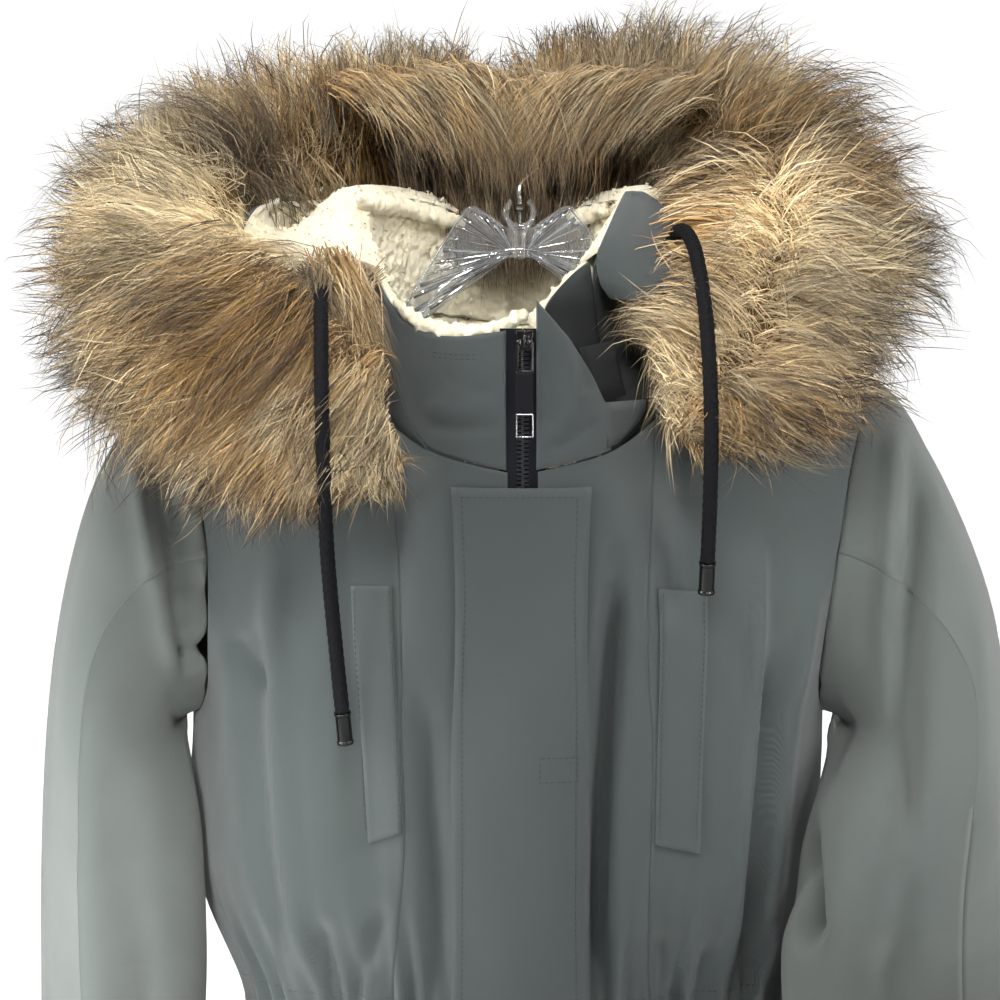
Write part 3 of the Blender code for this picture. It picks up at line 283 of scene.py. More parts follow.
def placed(piece):
    # the place, turn and size of a new piece go into its mesh
    selectOnly([piece])
    bpy.ops.object.transform_apply(location=True, rotation=True, scale=True)
    piece.select_set(False)
    return piece


def joined(name, pieces):
    selectOnly(pieces)
    bpy.ops.object.join()
    pieces[0].name = name
    pieces[0].data.name = name
    pieces[0].select_set(False)
    return pieces[0]


def newest(name, material):
    piece = bpy.context.active_object
    piece.name = name
    piece.data.name = name
    piece.data.materials.append(material)
    return piece


# node groups and materials

def addNode(tree, kind, values=None, **settings):
    # each value is a plain one, or another node's output to link
    node = tree.nodes.new(kind)
    for key, value in settings.items():
        setattr(node, key, value)
    for key, value in (values or {}).items():
        if isinstance(value, bpy.types.NodeSocket):
            tree.links.new(value, node.inputs[key])
        else:
            node.inputs[key].default_value = value
    return node


def onObject(tree, kind, values=None, **settings):
    place = tree.nodes.new("ShaderNodeTexCoord").outputs["Object"]
    return addNode(tree, kind, {"Vector": place, **(values or {})}, **settings)


def mathNode(tree, operation, a, b=None):
    values = {0: a} if b is None else {0: a, 1: b}
    return addNode(tree, "ShaderNodeMath", values, operation=operation).outputs[0]


def newGroup(name, inputs, outputs):
    group = bpy.data.node_groups.new(name, "ShaderNodeTree")
    for key, (kind, value) in inputs.items():
        socket = group.interface.new_socket(key, in_out="INPUT", socket_type=kind)
        if value is not None:
            socket.default_value = value
    for key, kind in outputs.items():
        group.interface.new_socket(key, in_out="OUTPUT", socket_type=kind)
    return group, group.nodes.new("NodeGroupInput"), group.nodes.new("NodeGroupOutput")


def makeWeaveGroup():
    # warp and weft, over and under, on the piece's own UV map in metres
    group, start, end = newGroup("weave", {
        "Vector": ("NodeSocketVector", None), "Threads per metre": ("NodeSocketFloat", 1800.0),
        "Unevenness": ("NodeSocketFloat", 0.3)}, {"Height": "NodeSocketFloat"})
    split = addNode(group, "ShaderNodeSeparateXYZ", {0: start.outputs["Vector"]})
    waves = []
    for axis in (0, 1):
        turned = mathNode(group, "MULTIPLY", split.outputs[axis], start.outputs["Threads per metre"])
        waves.append(mathNode(group, "SINE", mathNode(group, "MULTIPLY", turned, math.tau)))
    plain = mathNode(group, "MULTIPLY", waves[0], waves[1])
    slub = addNode(group, "ShaderNodeTexNoise", {"Vector": start.outputs["Vector"], "Scale": 900.0,
                                                 "Detail": 2.0})
    uneven = mathNode(group, "MULTIPLY", slub.outputs["Fac"], start.outputs["Unevenness"])
    group.links.new(mathNode(group, "ADD", plain, uneven), end.inputs["Height"])
    return group


def makeToneGroup():
    # broad, soft changes of a colour's brightness over a piece
    group, start, end = newGroup("tone", {
        "Color": ("NodeSocketColor", (0.5, 0.5, 0.5, 1)), "Scale": ("NodeSocketFloat", 12.0),
        "Amount": ("NodeSocketFloat", 0.12)}, {"Color": "NodeSocketColor"})
    broad = onObject(group, "ShaderNodeTexNoise", {"Scale": start.outputs["Scale"], "Detail": 3.0,
                                                   "Roughness": 0.55})
    centred = mathNode(group, "SUBTRACT", broad.outputs["Fac"], 0.5)
    swing = mathNode(group, "MULTIPLY", centred, start.outputs["Amount"])
    level = mathNode(group, "ADD", mathNode(group, "MULTIPLY", swing, 2.0), 1.0)
    scaled = addNode(group, "ShaderNodeVectorMath", {0: start.outputs["Color"], "Scale": level},
                     operation="SCALE")
    group.links.new(scaled.outputs[0], end.inputs["Color"])
    return group


weaveGroup = makeWeaveGroup()
toneGroup = makeToneGroup()


def newMaterial(name, colour, roughness, settings=None):
    material = bpy.data.materials.new(name)
    material.use_nodes = True
    shader = material.node_tree.nodes["Principled BSDF"]
    shader.inputs["Base Color"].default_value = (*colour, 1)
    shader.inputs["Roughness"].default_value = roughness
    for key, value in (settings or {}).items():
        shader.inputs[key].default_value = value
    return material, material.node_tree, shader


def toned(tree, colour, scale, amount):
    if not isinstance(colour, bpy.types.NodeSocket):
        colour = (*colour, 1)
    return addNode(tree, "ShaderNodeGroup", {"Color": colour, "Scale": scale, "Amount": amount},
                   node_tree=toneGroup).outputs["Color"]


def bumped(tree, shader, height, distance, strength=1.0):
    bump = addNode(tree, "ShaderNodeBump", {"Strength": strength, "Distance": distance, "Height": height})
    tree.links.new(bump.outputs["Normal"], shader.inputs["Normal"])


def wovenMaterial(name, colour, roughness, threads, depth, sheen):
    material, tree, shader = newMaterial(name, colour, roughness, {
        "Sheen Weight": sheen, "Sheen Roughness": 0.45, "Specular IOR Level": 0.32})
    tree.links.new(toned(tree, colour, 9.0, 0.10), shader.inputs["Base Color"])
    place = tree.nodes.new("ShaderNodeUVMap").outputs["UV"]
    weave = addNode(tree, "ShaderNodeGroup", {"Vector": place, "Threads per metre": threads},
                    node_tree=weaveGroup)
    ripple = onObject(tree, "ShaderNodeTexNoise", {"Scale": 26.0, "Detail": 3.0, "Roughness": 0.45,
                                                   "Distortion": 0.6})
    rise = mathNode(tree, "MULTIPLY", ripple.outputs["Fac"], 7.5)
    bumped(tree, shader, mathNode(tree, "ADD", weave.outputs["Height"], rise), depth, 0.8)
    return material


def foldMaterial(name, colour, deep, top, foot):
    # the same cloth with painted shade: darker towards the bottom of the fold beside the collar, where
    # shade falls
    material = wovenMaterial(name, colour, 0.62, 1700.0, 0.00018, 0.05)
    tree = material.node_tree
    shader = tree.nodes["Principled BSDF"]
    height = onObject(tree, "ShaderNodeSeparateXYZ").outputs["Z"]
    share = addNode(tree, "ShaderNodeMapRange", {"Value": height, "From Min": foot, "From Max": top,
                                                 "To Min": deep, "To Max": 1.0})
    plain = shader.inputs["Base Color"].links[0].from_socket
    # sockets 6 and 7 are the two colours, and output 2 is their product
    mix = addNode(tree, "ShaderNodeMix", {"Factor": 1.0, 6: plain, 7: share.outputs["Result"]},
                  data_type="RGBA", blend_type="MULTIPLY")
    tree.links.new(mix.outputs[2], shader.inputs["Base Color"])
    return material


def sherpaMaterial():
    colour = (0.800, 0.720, 0.520)
    material, tree, shader = newMaterial("cream sherpa", colour, 0.95, {
        "Sheen Weight": 0.5, "Sheen Roughness": 0.6, "Specular IOR Level": 0.15})
    curls = onObject(tree, "ShaderNodeTexVoronoi", {"Scale": 330.0}, feature="SMOOTH_F1")
    fuzz = onObject(tree, "ShaderNodeTexNoise", {"Scale": 1500.0, "Detail": 4.0})
    # painted shade: the colour turns darker and warmer towards the hollows between the curls
    ramp = addNode(tree, "ShaderNodeValToRGB", {"Fac": curls.outputs["Distance"]})
    ramp.color_ramp.elements[0].color = (0.960, 0.890, 0.690, 1)
    ramp.color_ramp.elements[1].position = 0.85
    ramp.color_ramp.elements[1].color = (0.830, 0.730, 0.500, 1)
    tree.links.new(toned(tree, ramp.outputs["Color"], 22.0, 0.12), shader.inputs["Base Color"])
    sunk = mathNode(tree, "MULTIPLY", curls.outputs["Distance"], -1.0)
    height = mathNode(tree, "ADD", sunk, mathNode(tree, "MULTIPLY", fuzz.outputs["Fac"], 0.6))
    bumped(tree, shader, height, 0.0008, 0.7)
    return material


def furMaterial():
    # reads the strands' own attribute: run from root to tip, tone, how dark (dark tips, and painted shade),
    # and how warm
    material, tree, shader = newMaterial("tan fur", (0.5, 0.33, 0.16), 0.60, {
        "Sheen Weight": 0.25, "Sheen Roughness": 0.4, "Specular IOR Level": 0.30})
    strand = addNode(tree, "ShaderNodeAttribute", attribute_name="strand")
    split = addNode(tree, "ShaderNodeSeparateColor", {0: strand.outputs["Color"]})
    ramps = []
    # colour along a strand from root to tip; the darker colour at the root is painted shade deep in the fur
    cream = ((0.0, (0.420, 0.320, 0.170)), (0.30, (0.800, 0.660, 0.400)), (0.70, (0.950, 0.810, 0.530)),
             (1.0, (0.820, 0.670, 0.420)))
    warm = ((0.0, (0.240, 0.135, 0.045)), (0.30, (0.480, 0.265, 0.080)), (0.70, (0.640, 0.370, 0.115)),
            (1.0, (0.520, 0.290, 0.090)))
    for stops in (cream, warm):
        ramp = addNode(tree, "ShaderNodeValToRGB", {"Fac": split.outputs["Red"]})
        while len(ramp.color_ramp.elements) < len(stops):
            ramp.color_ramp.elements.new(0.5)
        for element, (position, colour) in zip(ramp.color_ramp.elements, stops):
            element.position = position
            element.color = (*colour, 1)
        ramps.append(ramp.outputs["Color"])
    blend = addNode(tree, "ShaderNodeMix", {"Factor": strand.outputs["Alpha"], "A": ramps[0],
                                            "B": ramps[1]}, data_type="RGBA")
    level = mathNode(tree, "MULTIPLY", split.outputs["Green"], 2.0)
    lit = addNode(tree, "ShaderNodeVectorMath", {0: blend.outputs["Result"], "Scale": level},
                  operation="SCALE")
    dark = addNode(tree, "ShaderNodeMix", {"Factor": split.outputs["Blue"], "A": lit.outputs[0],
                                           "B": (0.030, 0.018, 0.015, 1)}, data_type="RGBA")
    tree.links.new(dark.outputs["Result"], shader.inputs["Base Color"])
    return material


def underlayShadeMaterial():
    # dark brown: painted shade for the gaps between the tufts
    material, tree, shader = newMaterial("fur underlay in painted shade", (0.16, 0.10, 0.05), 0.95,
                                         {"Specular IOR Level": 0.05})
    tree.links.new(toned(tree, (0.17, 0.105, 0.05), 60.0, 0.5), shader.inputs["Base Color"])
    fuzz = onObject(tree, "ShaderNodeTexNoise", {"Scale": 400.0, "Detail": 4.0})
    bumped(tree, shader, fuzz.outputs["Fac"], 0.002)
    return material


def plainMaterial(name, colour, roughness, grain, depth, metal=0.0, glossy=0.5):
    material, tree, shader = newMaterial(name, colour, roughness, {
        "Metallic": metal, "Specular IOR Level": glossy})
    tree.links.new(toned(tree, colour, 40.0, 0.12), shader.inputs["Base Color"])
    fine = onObject(tree, "ShaderNodeTexNoise", {"Scale": grain, "Detail": 3.0})
    bumped(tree, shader, fine.outputs["Fac"], depth)
    return material


def clearMaterial():
    material, tree, shader = newMaterial("clear plastic", (0.93, 0.95, 0.95), 0.06, {
        "Transmission Weight": 0.92, "IOR": 1.47, "Specular IOR Level": 0.7})
    flow = onObject(tree, "ShaderNodeTexNoise", {"Scale": 160.0, "Detail": 2.0})
    bumped(tree, shader, flow.outputs["Fac"], 0.0004)
    return material


finishes = {
    "shell": wovenMaterial("olive shell", (0.071, 0.085, 0.083), 0.60, 1700.0, 0.00018, 0.20),
    # painted light: a paler copy of the shell cloth, standing in for the stronger light on the sleeves
    "sleeve": wovenMaterial("olive shell, paler", (0.107, 0.122, 0.112), 0.60, 1700.0, 0.00018, 0.24),
    # painted shade: the shell cloth darkened towards the bottom of the fold beside the collar
    "fold": foldMaterial("olive shell in the fold", (0.069, 0.083, 0.081), 0.14, -0.088, -0.116),
    "stitch": plainMaterial("olive thread", (0.040, 0.047, 0.045), 0.6, 3000.0, 0.0001),
    "sherpa": sherpaMaterial(),
    "fur": furMaterial(),
    "underlay_shade": underlayShadeMaterial(),
    "cord": plainMaterial("black braid", (0.005, 0.005, 0.006), 0.70, 4000.0, 0.0001, glossy=0.15),
    "tape": plainMaterial("black tape", (0.008, 0.009, 0.012), 0.8, 2500.0, 0.00015, glossy=0.2),
    "teeth": plainMaterial("black teeth", (0.020, 0.020, 0.022), 0.28, 2500.0, 0.00004),
    "gunmetal": plainMaterial("gunmetal", (0.060, 0.059, 0.058), 0.16, 1200.0, 0.00001, metal=1.0),
    "strap": plainMaterial("puller strap", (0.006, 0.006, 0.008), 0.6, 1500.0, 0.00008, glossy=0.15),
    "steel": plainMaterial("hook steel", (0.600, 0.600, 0.600), 0.15, 1200.0, 0.00001, metal=1.0),
    # painted highlight: a silvered metal that stands in for bright glints on the clear plastic
    "glint": plainMaterial("silver for painted glints", (0.800, 0.800, 0.820), 0.12, 900.0, 0.00002, metal=1.0),
    "wire": plainMaterial("puller wire", (0.420, 0.420, 0.420), 0.20, 1200.0, 0.00001, metal=1.0),
    "clear": clearMaterial(),
}


# drawcords: their routes are those of the solids, from the hood's edge to the free end

cordLook = {"radius": 0.0039, "sides": 20, "step": 0.0006, "relief": 0.20, "strands": 6, "pitch": 0.0105}
cordRoutes = {
    "left": ((-0.1122, -0.1050, -0.1012), (-0.1102, -0.1255, -0.1062), (-0.1095, -0.1432, -0.1140),
             (-0.1086, -0.1591, -0.1290), (-0.1080, -0.1691, -0.1500), (-0.1074, -0.1756, -0.1720),
             (-0.1068, -0.1773, -0.1950), (-0.1062, -0.1746, -0.2200), (-0.1048, -0.1640, -0.2560),
             (-0.1020, -0.1510, -0.2960), (-0.0985, -0.1405, -0.3377)),
    "right": ((0.0838, -0.0700, -0.0822), (0.0885, -0.0866, -0.0735), (0.0925, -0.1024, -0.0745),
              (0.0962, -0.1183, -0.0835), (0.0985, -0.1333, -0.0980), (0.1003, -0.1468, -0.1150),
              (0.1015, -0.1583, -0.1350), (0.1024, -0.1648, -0.1560), (0.1029, -0.1663, -0.1780),
              (0.1030, -0.1633, -0.2000), (0.1028, -0.1560, -0.2270), (0.1023, -0.1470, -0.2540)),
}
cordEnd = {"radius": 0.0048, "length": 0.0187, "gap": 0.0003, "rim": 0.0016, "rimDepth": 0.00045}


def braidedCord(name, route, look):
    length = np.sum(stepLengths(smoothCurve(route, 200)))
    path = smoothCurve(route, round(length / look["step"]) + 1)
    angles = np.arange(look["sides"]) * math.tau / look["sides"]
    run = np.arange(len(path))[:, None] * look["step"] / look["pitch"]
    turn = angles[None] * look["strands"] / math.tau
    right, left = turn + run * 2, turn - run * 2
    over = (np.floor(right) + np.floor(left)) % 2
    bulge = np.where(over > 0, abs(np.sin(math.pi * right)), abs(np.sin(math.pi * left)))
    radius = look["radius"] * (1 + look["relief"] * (bulge - 0.6))
    return tubeMesh(name, path, radius, look["sides"], finishes["cord"]), path, length


def barrelEnd(name, path, size):
    # a turned barrel with a raised rim at each end and a dimple in its foot
    way = Vector(path[-1] - path[-3]).normalized()
    centre = Vector(path[-1]) + way * (size["gap"] + size["length"] / 2)
    bpy.ops.mesh.primitive_cylinder_add(vertices=32, radius=size["radius"] - size["rimDepth"],
                                        depth=size["length"], location=centre)
    piece = newest(name, finishes["gunmetal"])
    piece.rotation_euler = way.to_track_quat("Z", "Y").to_euler()
    bpy.ops.object.mode_set(mode="EDIT")
    bpy.ops.mesh.select_all(action="DESELECT")
    shape = bmesh.from_edit_mesh(piece.data)
    half = size["length"] / 2
    for sign in (-1, 1):
        for level in (half - size["rim"], half - size["rim"] * 1.4):
            bmesh.ops.bisect_plane(shape, geom=shape.verts[:] + shape.edges[:] + shape.faces[:],
                                   plane_co=(0, 0, sign * level), plane_no=(0, 0, 1))
    for vertex in shape.verts:
        if abs(vertex.co.z) > half - size["rim"] * 1.2:
            vertex.co.xy *= size["radius"] / (size["radius"] - size["rimDepth"])
    for face in shape.faces:
        face.select = abs(face.normal.z) > 0.9 and len(face.verts) > 8
    bmesh.update_edit_mesh(piece.data)
    bpy.ops.mesh.inset(thickness=size["radius"] * 0.28, depth=0)
    bpy.ops.mesh.inset(thickness=0.0002, depth=-0.0006)
    bpy.ops.object.mode_set(mode="OBJECT")
    return placed(bevelled(piece, 0.00025, 2, 35))


def makeCords():
    for side, route in cordRoutes.items():
        cord, path, length = braidedCord(f"drawcord_{side}_braid", route, cordLook)
        end = barrelEnd(f"cord_end_{side}_barrel", path, cordEnd)
        dressed(cord, f"drawcord_{side}")
        dressed(end, f"cord_end_{side}")
        print("cord", side, round(float(length), 4))


makeCamera(cameraView)
makeCords()
print("stage: camera and cords")


# shell cloth: the solids' walls, subdivided, with listed creases laid in

bodyCore = {"middleY": -0.025, "wide": 0.190, "deep": 0.103}
neckCore = {"middleY": -0.050}
weaveRadius = {"body": 0.14, "sleeve": 0.05}     # what an angle round the middle measures on the cloth
shellWall = 0.0026
creaseDepth = 1.5

# width, rise (minus is a trough), then the line's points (x, z) from its top
bodyFrontCreases = (
    (0.0075, 0.0050, ((-0.1385, -0.236), (-0.1386, -0.338), (-0.1360, -0.393), (-0.1315, -0.447),
                      (-0.1240, -0.496), (-0.118, -0.530))),
    (0.0090, -0.0085, ((-0.1500, -0.285), (-0.1510, -0.350), (-0.1470, -0.420), (-0.1360, -0.500))),
    (0.0060, -0.0040, ((-0.1640, -0.298), (-0.1540, -0.316), (-0.1420, -0.334))),
    (0.0050, -0.0045, ((-0.1117, -0.455), (-0.1080, -0.496), (-0.1070, -0.525))),
    (0.0055, -0.0045, ((-0.0740, -0.447), (-0.0850, -0.474), (-0.0930, -0.498), (-0.0990, -0.528))),
    (0.0070, -0.0065, ((-0.0545, -0.318), (-0.0512, -0.374), (-0.0468, -0.429), (-0.0462, -0.520))),
    (0.0068, -0.0130, ((0.0560, -0.238), (0.0500, -0.306), (0.0445, -0.383), (0.0420, -0.463),
                       (0.0425, -0.530))),
    (0.0045, 0.0060, ((0.1330, -0.222), (0.1326, -0.322), (0.1300, -0.383), (0.1254, -0.472),
                      (0.1225, -0.520))),
    (0.0065, -0.0105, ((0.1450, -0.290), (0.1395, -0.350), (0.1350, -0.400), (0.1310, -0.455),
                       (0.1280, -0.520))),
    (0.0050, 0.0050, ((0.1700, -0.262), (0.1610, -0.306), (0.1535, -0.347), (0.1496, -0.383),
                      (0.1414, -0.463), (0.1364, -0.520))),
    (0.0140, -0.0040, ((0.0950, -0.195), (0.0900, -0.240), (0.0860, -0.300))),
    (0.0120, -0.0035, ((-0.0870, -0.300), (-0.0880, -0.380), (-0.0850, -0.440))),
    (0.0060, -0.0040, ((0.0780, -0.462), (0.0830, -0.490), (0.0880, -0.520))),
    (0.0050, -0.0035, ((0.1060, -0.470), (0.1040, -0.495), (0.1000, -0.525))),
    (0.0080, 0.0040, ((-0.1280, -0.545), (-0.1480, -0.640), (-0.1600, -0.760), (-0.1650, -0.900))),
    (0.0090, -0.0045, ((-0.0900, -0.540), (-0.1030, -0.640), (-0.1100, -0.780))),
    (0.0080, -0.0040, ((-0.0600, -0.545), (-0.0640, -0.700), (-0.0660, -0.880))),
    (0.0080, 0.0040, ((0.0720, -0.550), (0.0860, -0.690), (0.0920, -0.860))),
    (0.0090, -0.0050, ((0.1080, -0.540), (0.1220, -0.640), (0.1330, -0.800))),
    (0.0080, 0.0040, ((0.1350, -0.560), (0.1560, -0.660), (0.1700, -0.880))),
)
bodyBackCreases = (
    (0.0090, 0.0045, ((-0.1200, -0.210), (-0.1060, -0.330), (-0.0880, -0.480))),
    (0.0080, -0.0050, ((-0.1420, -0.300), (-0.1280, -0.400), (-0.1100, -0.510))),
    (0.0090, -0.0045, ((0.0300, -0.220), (0.0240, -0.350), (0.0200, -0.500))),
    (0.0080, 0.0045, ((0.1240, -0.220), (0.1080, -0.340), (0.0900, -0.490))),
    (0.0080, -0.0050, ((0.1480, -0.280), (0.1300, -0.400), (0.1120, -0.510))),
    (0.0090, -0.0050, ((-0.0400, -0.540), (-0.0520, -0.680), (-0.0580, -0.860))),
    (0.0080, 0.0045, ((-0.0860, -0.550), (-0.1120, -0.700), (-0.1240, -0.900))),
    (0.0090, -0.0050, ((-0.1260, -0.560), (-0.1560, -0.720), (-0.1680, -0.860))),
    (0.0080, -0.0050, ((0.0360, -0.545), (0.0460, -0.700), (0.0500, -0.900))),
    (0.0090, 0.0050, ((0.0860, -0.550), (0.1080, -0.700), (0.1180, -0.880))),
    (0.0080, -0.0045, ((0.1240, -0.560), (0.1500, -0.700), (0.1640, -0.880))),
)
sleeveCreases = {
    ("left", "front"): (
        (0.0060, 0.0050, ((-0.2180, -0.190), (-0.2050, -0.255), (-0.1970, -0.298), (-0.1910, -0.335))),
        (0.0085, -0.0150, ((-0.2060, -0.185), (-0.1940, -0.245), (-0.1850, -0.300), (-0.1780, -0.345))),
        (0.0120, -0.0025, ((-0.2250, -0.330), (-0.2170, -0.420), (-0.2100, -0.520))),
        (0.0100, 0.0020, ((-0.2420, -0.400), (-0.2360, -0.470), (-0.2330, -0.560))),
        (0.0110, -0.0030, ((-0.2000, -0.440), (-0.2110, -0.520), (-0.2240, -0.600))),
        (0.0090, -0.0040, ((-0.1900, -0.540), (-0.2150, -0.575), (-0.2480, -0.590))),
        (0.0100, 0.0035, ((-0.2000, -0.600), (-0.2300, -0.640), (-0.2620, -0.650))),
        (0.0090, -0.0035, ((-0.2100, -0.680), (-0.2450, -0.700), (-0.2700, -0.695)))),
    ("right", "front"): (
        (0.0070, 0.0060, ((0.2140, -0.165), (0.2107, -0.223), (0.2063, -0.273), (0.2074, -0.303),
                          (0.2085, -0.370))),
        (0.0085, -0.0100, ((0.2230, -0.180), (0.2190, -0.243), (0.2140, -0.303), (0.2123, -0.383),
                           (0.2110, -0.430))),
        (0.0110, -0.0045, ((0.2150, -0.415), (0.2070, -0.460), (0.1960, -0.520))),
        (0.0060, -0.0130, ((0.1700, -0.322), (0.1656, -0.345), (0.1630, -0.385))),
        (0.0070, -0.0150, ((0.1545, -0.385), (0.1560, -0.430), (0.1590, -0.475))),
        (0.0110, 0.0035, ((0.1850, -0.330), (0.1840, -0.400), (0.1790, -0.480))),
        (0.0100, 0.0040, ((0.2480, -0.260), (0.2560, -0.360), (0.2620, -0.450))),
        (0.0090, -0.0040, ((0.1780, -0.560), (0.2100, -0.590), (0.2520, -0.585))),
        (0.0100, 0.0035, ((0.2000, -0.640), (0.2350, -0.655), (0.2750, -0.640))),
        (0.0090, -0.0035, ((0.2150, -0.700), (0.2500, -0.705), (0.2820, -0.690)))),
    ("left", "back"): (
        (0.0110, -0.0050, ((-0.1960, -0.300), (-0.2240, -0.340), (-0.2560, -0.345))),
        (0.0100, 0.0040, ((-0.2000, -0.360), (-0.2300, -0.400), (-0.2600, -0.410))),
        (0.0100, -0.0045, ((-0.1950, -0.500), (-0.2300, -0.530), (-0.2620, -0.525))),
        (0.0110, -0.0040, ((-0.2300, -0.560), (-0.2450, -0.650), (-0.2500, -0.730)))),
    ("right", "back"): (
        (0.0110, -0.0050, ((0.1860, -0.300), (0.2150, -0.340), (0.2600, -0.350))),
        (0.0100, 0.0040, ((0.1900, -0.370), (0.2250, -0.410), (0.2700, -0.415))),
        (0.0100, -0.0045, ((0.1800, -0.500), (0.2200, -0.535), (0.2700, -0.530))),
        (0.0110, -0.0040, ((0.2450, -0.570), (0.2600, -0.650), (0.2650, -0.730)))),
}
collarCreases = (
    (0.0030, -0.0022, ((-0.0560, -0.1800), (-0.0400, -0.1830), (-0.0220, -0.1815), (-0.0060, -0.1820))),
    (0.0050, 0.0018, ((-0.0560, -0.1700), (-0.0350, -0.1725), (-0.0080, -0.1700))),
    (0.0040, -0.0014, ((-0.0450, -0.1500), (-0.0300, -0.1590), (-0.0100, -0.1600))),
    (0.0040, -0.0022, ((0.0300, -0.1280), (0.0350, -0.1480), (0.0370, -0.1650))),
    (0.0040, 0.0018, ((0.0240, -0.1250), (0.0270, -0.1500), (0.0260, -0.1800))),
    (0.0035, -0.0018, ((0.0140, -0.1950), (0.0280, -0.1880), (0.0440, -0.1760))),
    (0.0040, -0.0016, ((0.0140, -0.1400), (0.0170, -0.1600), (0.0150, -0.1850))),
)
waist = {"height": -0.515, "reach": 0.050, "depth": 0.0034, "evening": 1.6,
         "waves": ((37, 0.3), (53, 2.1), (71, 4.4))}
softWaves = {"size": 0.0011, "directions": 9, "seed": 5}


def lineField(places, line, width):
    # how much a crease lifts each place: round in section, fading out at its two ends
    line = np.array(line)
    lengths = stepLengths(line)
    run = runOf(line) / lengths.sum()
    nearest = np.full(len(places), np.inf)
    along = np.zeros(len(places))
    for k, length in enumerate(lengths):
        way = (line[k + 1] - line[k]) / length
        step = np.clip((places - line[k]) @ way, 0, length)
        distance = np.linalg.norm(places - line[k] - step[:, None] * way, axis=1)
        closer = distance < nearest
        nearest = np.where(closer, distance, nearest)
        along = np.where(closer, run[k] + step / length * (run[k + 1] - run[k]), along)
    fade = smoothStep(0, 0.22, along) * smoothStep(0, 0.22, 1 - along)
    return np.exp(-(nearest / width) ** 2) * fade


def creased(points, creases, weight):
    lift = np.zeros(len(points))
    places = points[:, (0, 2)]
    for width, rise, line in creases:
        lift += creaseDepth * rise * lineField(places, line, width)
    return lift * weight


def gentleWaves(points, waves):
    # uneven, upright ripples that no cloth is without
    draws = np.random.default_rng(waves["seed"])
    lift = np.zeros(len(points))
    for _ in range(waves["directions"]):
        way = draws.normal(size=3) * (1.0, 1.0, 0.35)
        way = way / np.linalg.norm(way) * draws.uniform(60, 210)
        lift += np.sin(points @ way + draws.uniform(0, math.tau))
    return lift * waves["size"] / math.sqrt(waves["directions"])


def offMiddle(points, axis=None):
    # x and y from the body's middle, or from a sleeve's
    if axis is None:
        return points[:, 0], points[:, 1] - bodyCore["middleY"]
    return [points[:, k] - np.interp(points[:, 2], axis[:, 0], axis[:, k + 1]) for k in (0, 1)]


def bodyOutward(points):
    x, y = offMiddle(points)
    flat = np.column_stack([x / bodyCore["wide"] ** 2, y / bodyCore["deep"] ** 2, np.zeros(len(x))])
    return unit(flat)


def bodyLift(points):
    outward = bodyOutward(points)
    front = smoothStep(0.02, 0.30, -outward[:, 1])
    lift = creased(points, bodyFrontCreases, front)
    lift += creased(points, bodyBackCreases, smoothStep(0.02, 0.30, outward[:, 1]))
    angle = np.arctan2(points[:, 0], points[:, 1] - bodyCore["middleY"])
    gathers = sum(np.sin(count * angle + shift) for count, shift in waist["waves"])
    near = hump(points[:, 2], waist["height"], waist["reach"])
    flapClear = smoothStep(0.030, 0.060, abs(points[:, 0])) * front + (1 - front)
    lift += waist["depth"] * near * gathers / waist["evening"] * flapClear
    lift += gentleWaves(points, softWaves)
    return outward * lift[:, None]


def sleeveAxis(side):
    # the middle of a sleeve at each height, read from its two solids
    rows = []
    points = pointsOf(*sleeveNodes(side))
    for height in np.arange(-0.76, -0.18, 0.02):
        band = points[abs(points[:, 2] - height) < 0.022]
        if len(band) > 8:
            middle = (band.min(0) + band.max(0)) / 2
            rows.append((height, middle[0], middle[1]))
    return np.array(rows)


def sleeveOutward(points, axis):
    x, y = offMiddle(points, axis)
    top = np.maximum(points[:, 2] + 0.26, 0) * 0.8
    return unit(np.column_stack([x, y, top]))


def sleeveLift(points, side, axis):
    outward = sleeveOutward(points, axis)
    faded = smoothStep(-0.150, -0.200, points[:, 2])
    lift = creased(points, sleeveCreases[side, "front"], smoothStep(0.0, 0.35, -outward[:, 1]))
    lift += creased(points, sleeveCreases[side, "back"], smoothStep(0.0, 0.35, outward[:, 1]))
    seam = armholeFade(points, side)
    return outward * (lift * faded * seam)[:, None] + bodyOutward(points) * (
        gentleWaves(points, softWaves) * (1 - seam))[:, None]


def armholeFade(points, side):
    # nothing moves at the armhole seam, so that the sleeve stays sewn in
    seam = armholeTrees[side]
    away = np.array([seam.find_nearest(Vector(point))[3] for point in points])
    return smoothStep(0.002, 0.030, away)


def armholeTree(side):
    # the armhole's edge, as thin faces between the body's and the sleeve's solids
    body, sleeve = (np.unique(np.round(pointsOf(*names), 5), axis=0)
                    for names in (("back", f"front_side_{side}"), sleeveNodes(side)))
    points, faces = [], []
    for point in body:
        if np.min(np.linalg.norm(sleeve - point, axis=1)) < 0.0016:
            first = len(points)
            points += [point, point + (0, 0, 0.0004), point + (0, 0.0004, 0)]
            faces.append((first, first + 1, first + 2))
    return BVHTree.FromPolygons([tuple(point) for point in points], faces)


armholeTrees = {side: armholeTree(side) for side in ("left", "right")}
sleeveAxes = {side: sleeveAxis(side) for side in ("left", "right")}


def mergedCopy(node, name, material):
    def merge(shape):
        bmesh.ops.remove_doubles(shape, verts=shape.verts, dist=0.00001)
        bmesh.ops.join_triangles(shape, faces=shape.faces, angle_face_threshold=math.radians(60),
                                 angle_shape_threshold=math.radians(100))

    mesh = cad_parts[node].data.copy()
    mesh.name = name
    piece = link(name, mesh, material)
    reshape(piece, merge)
    return piece


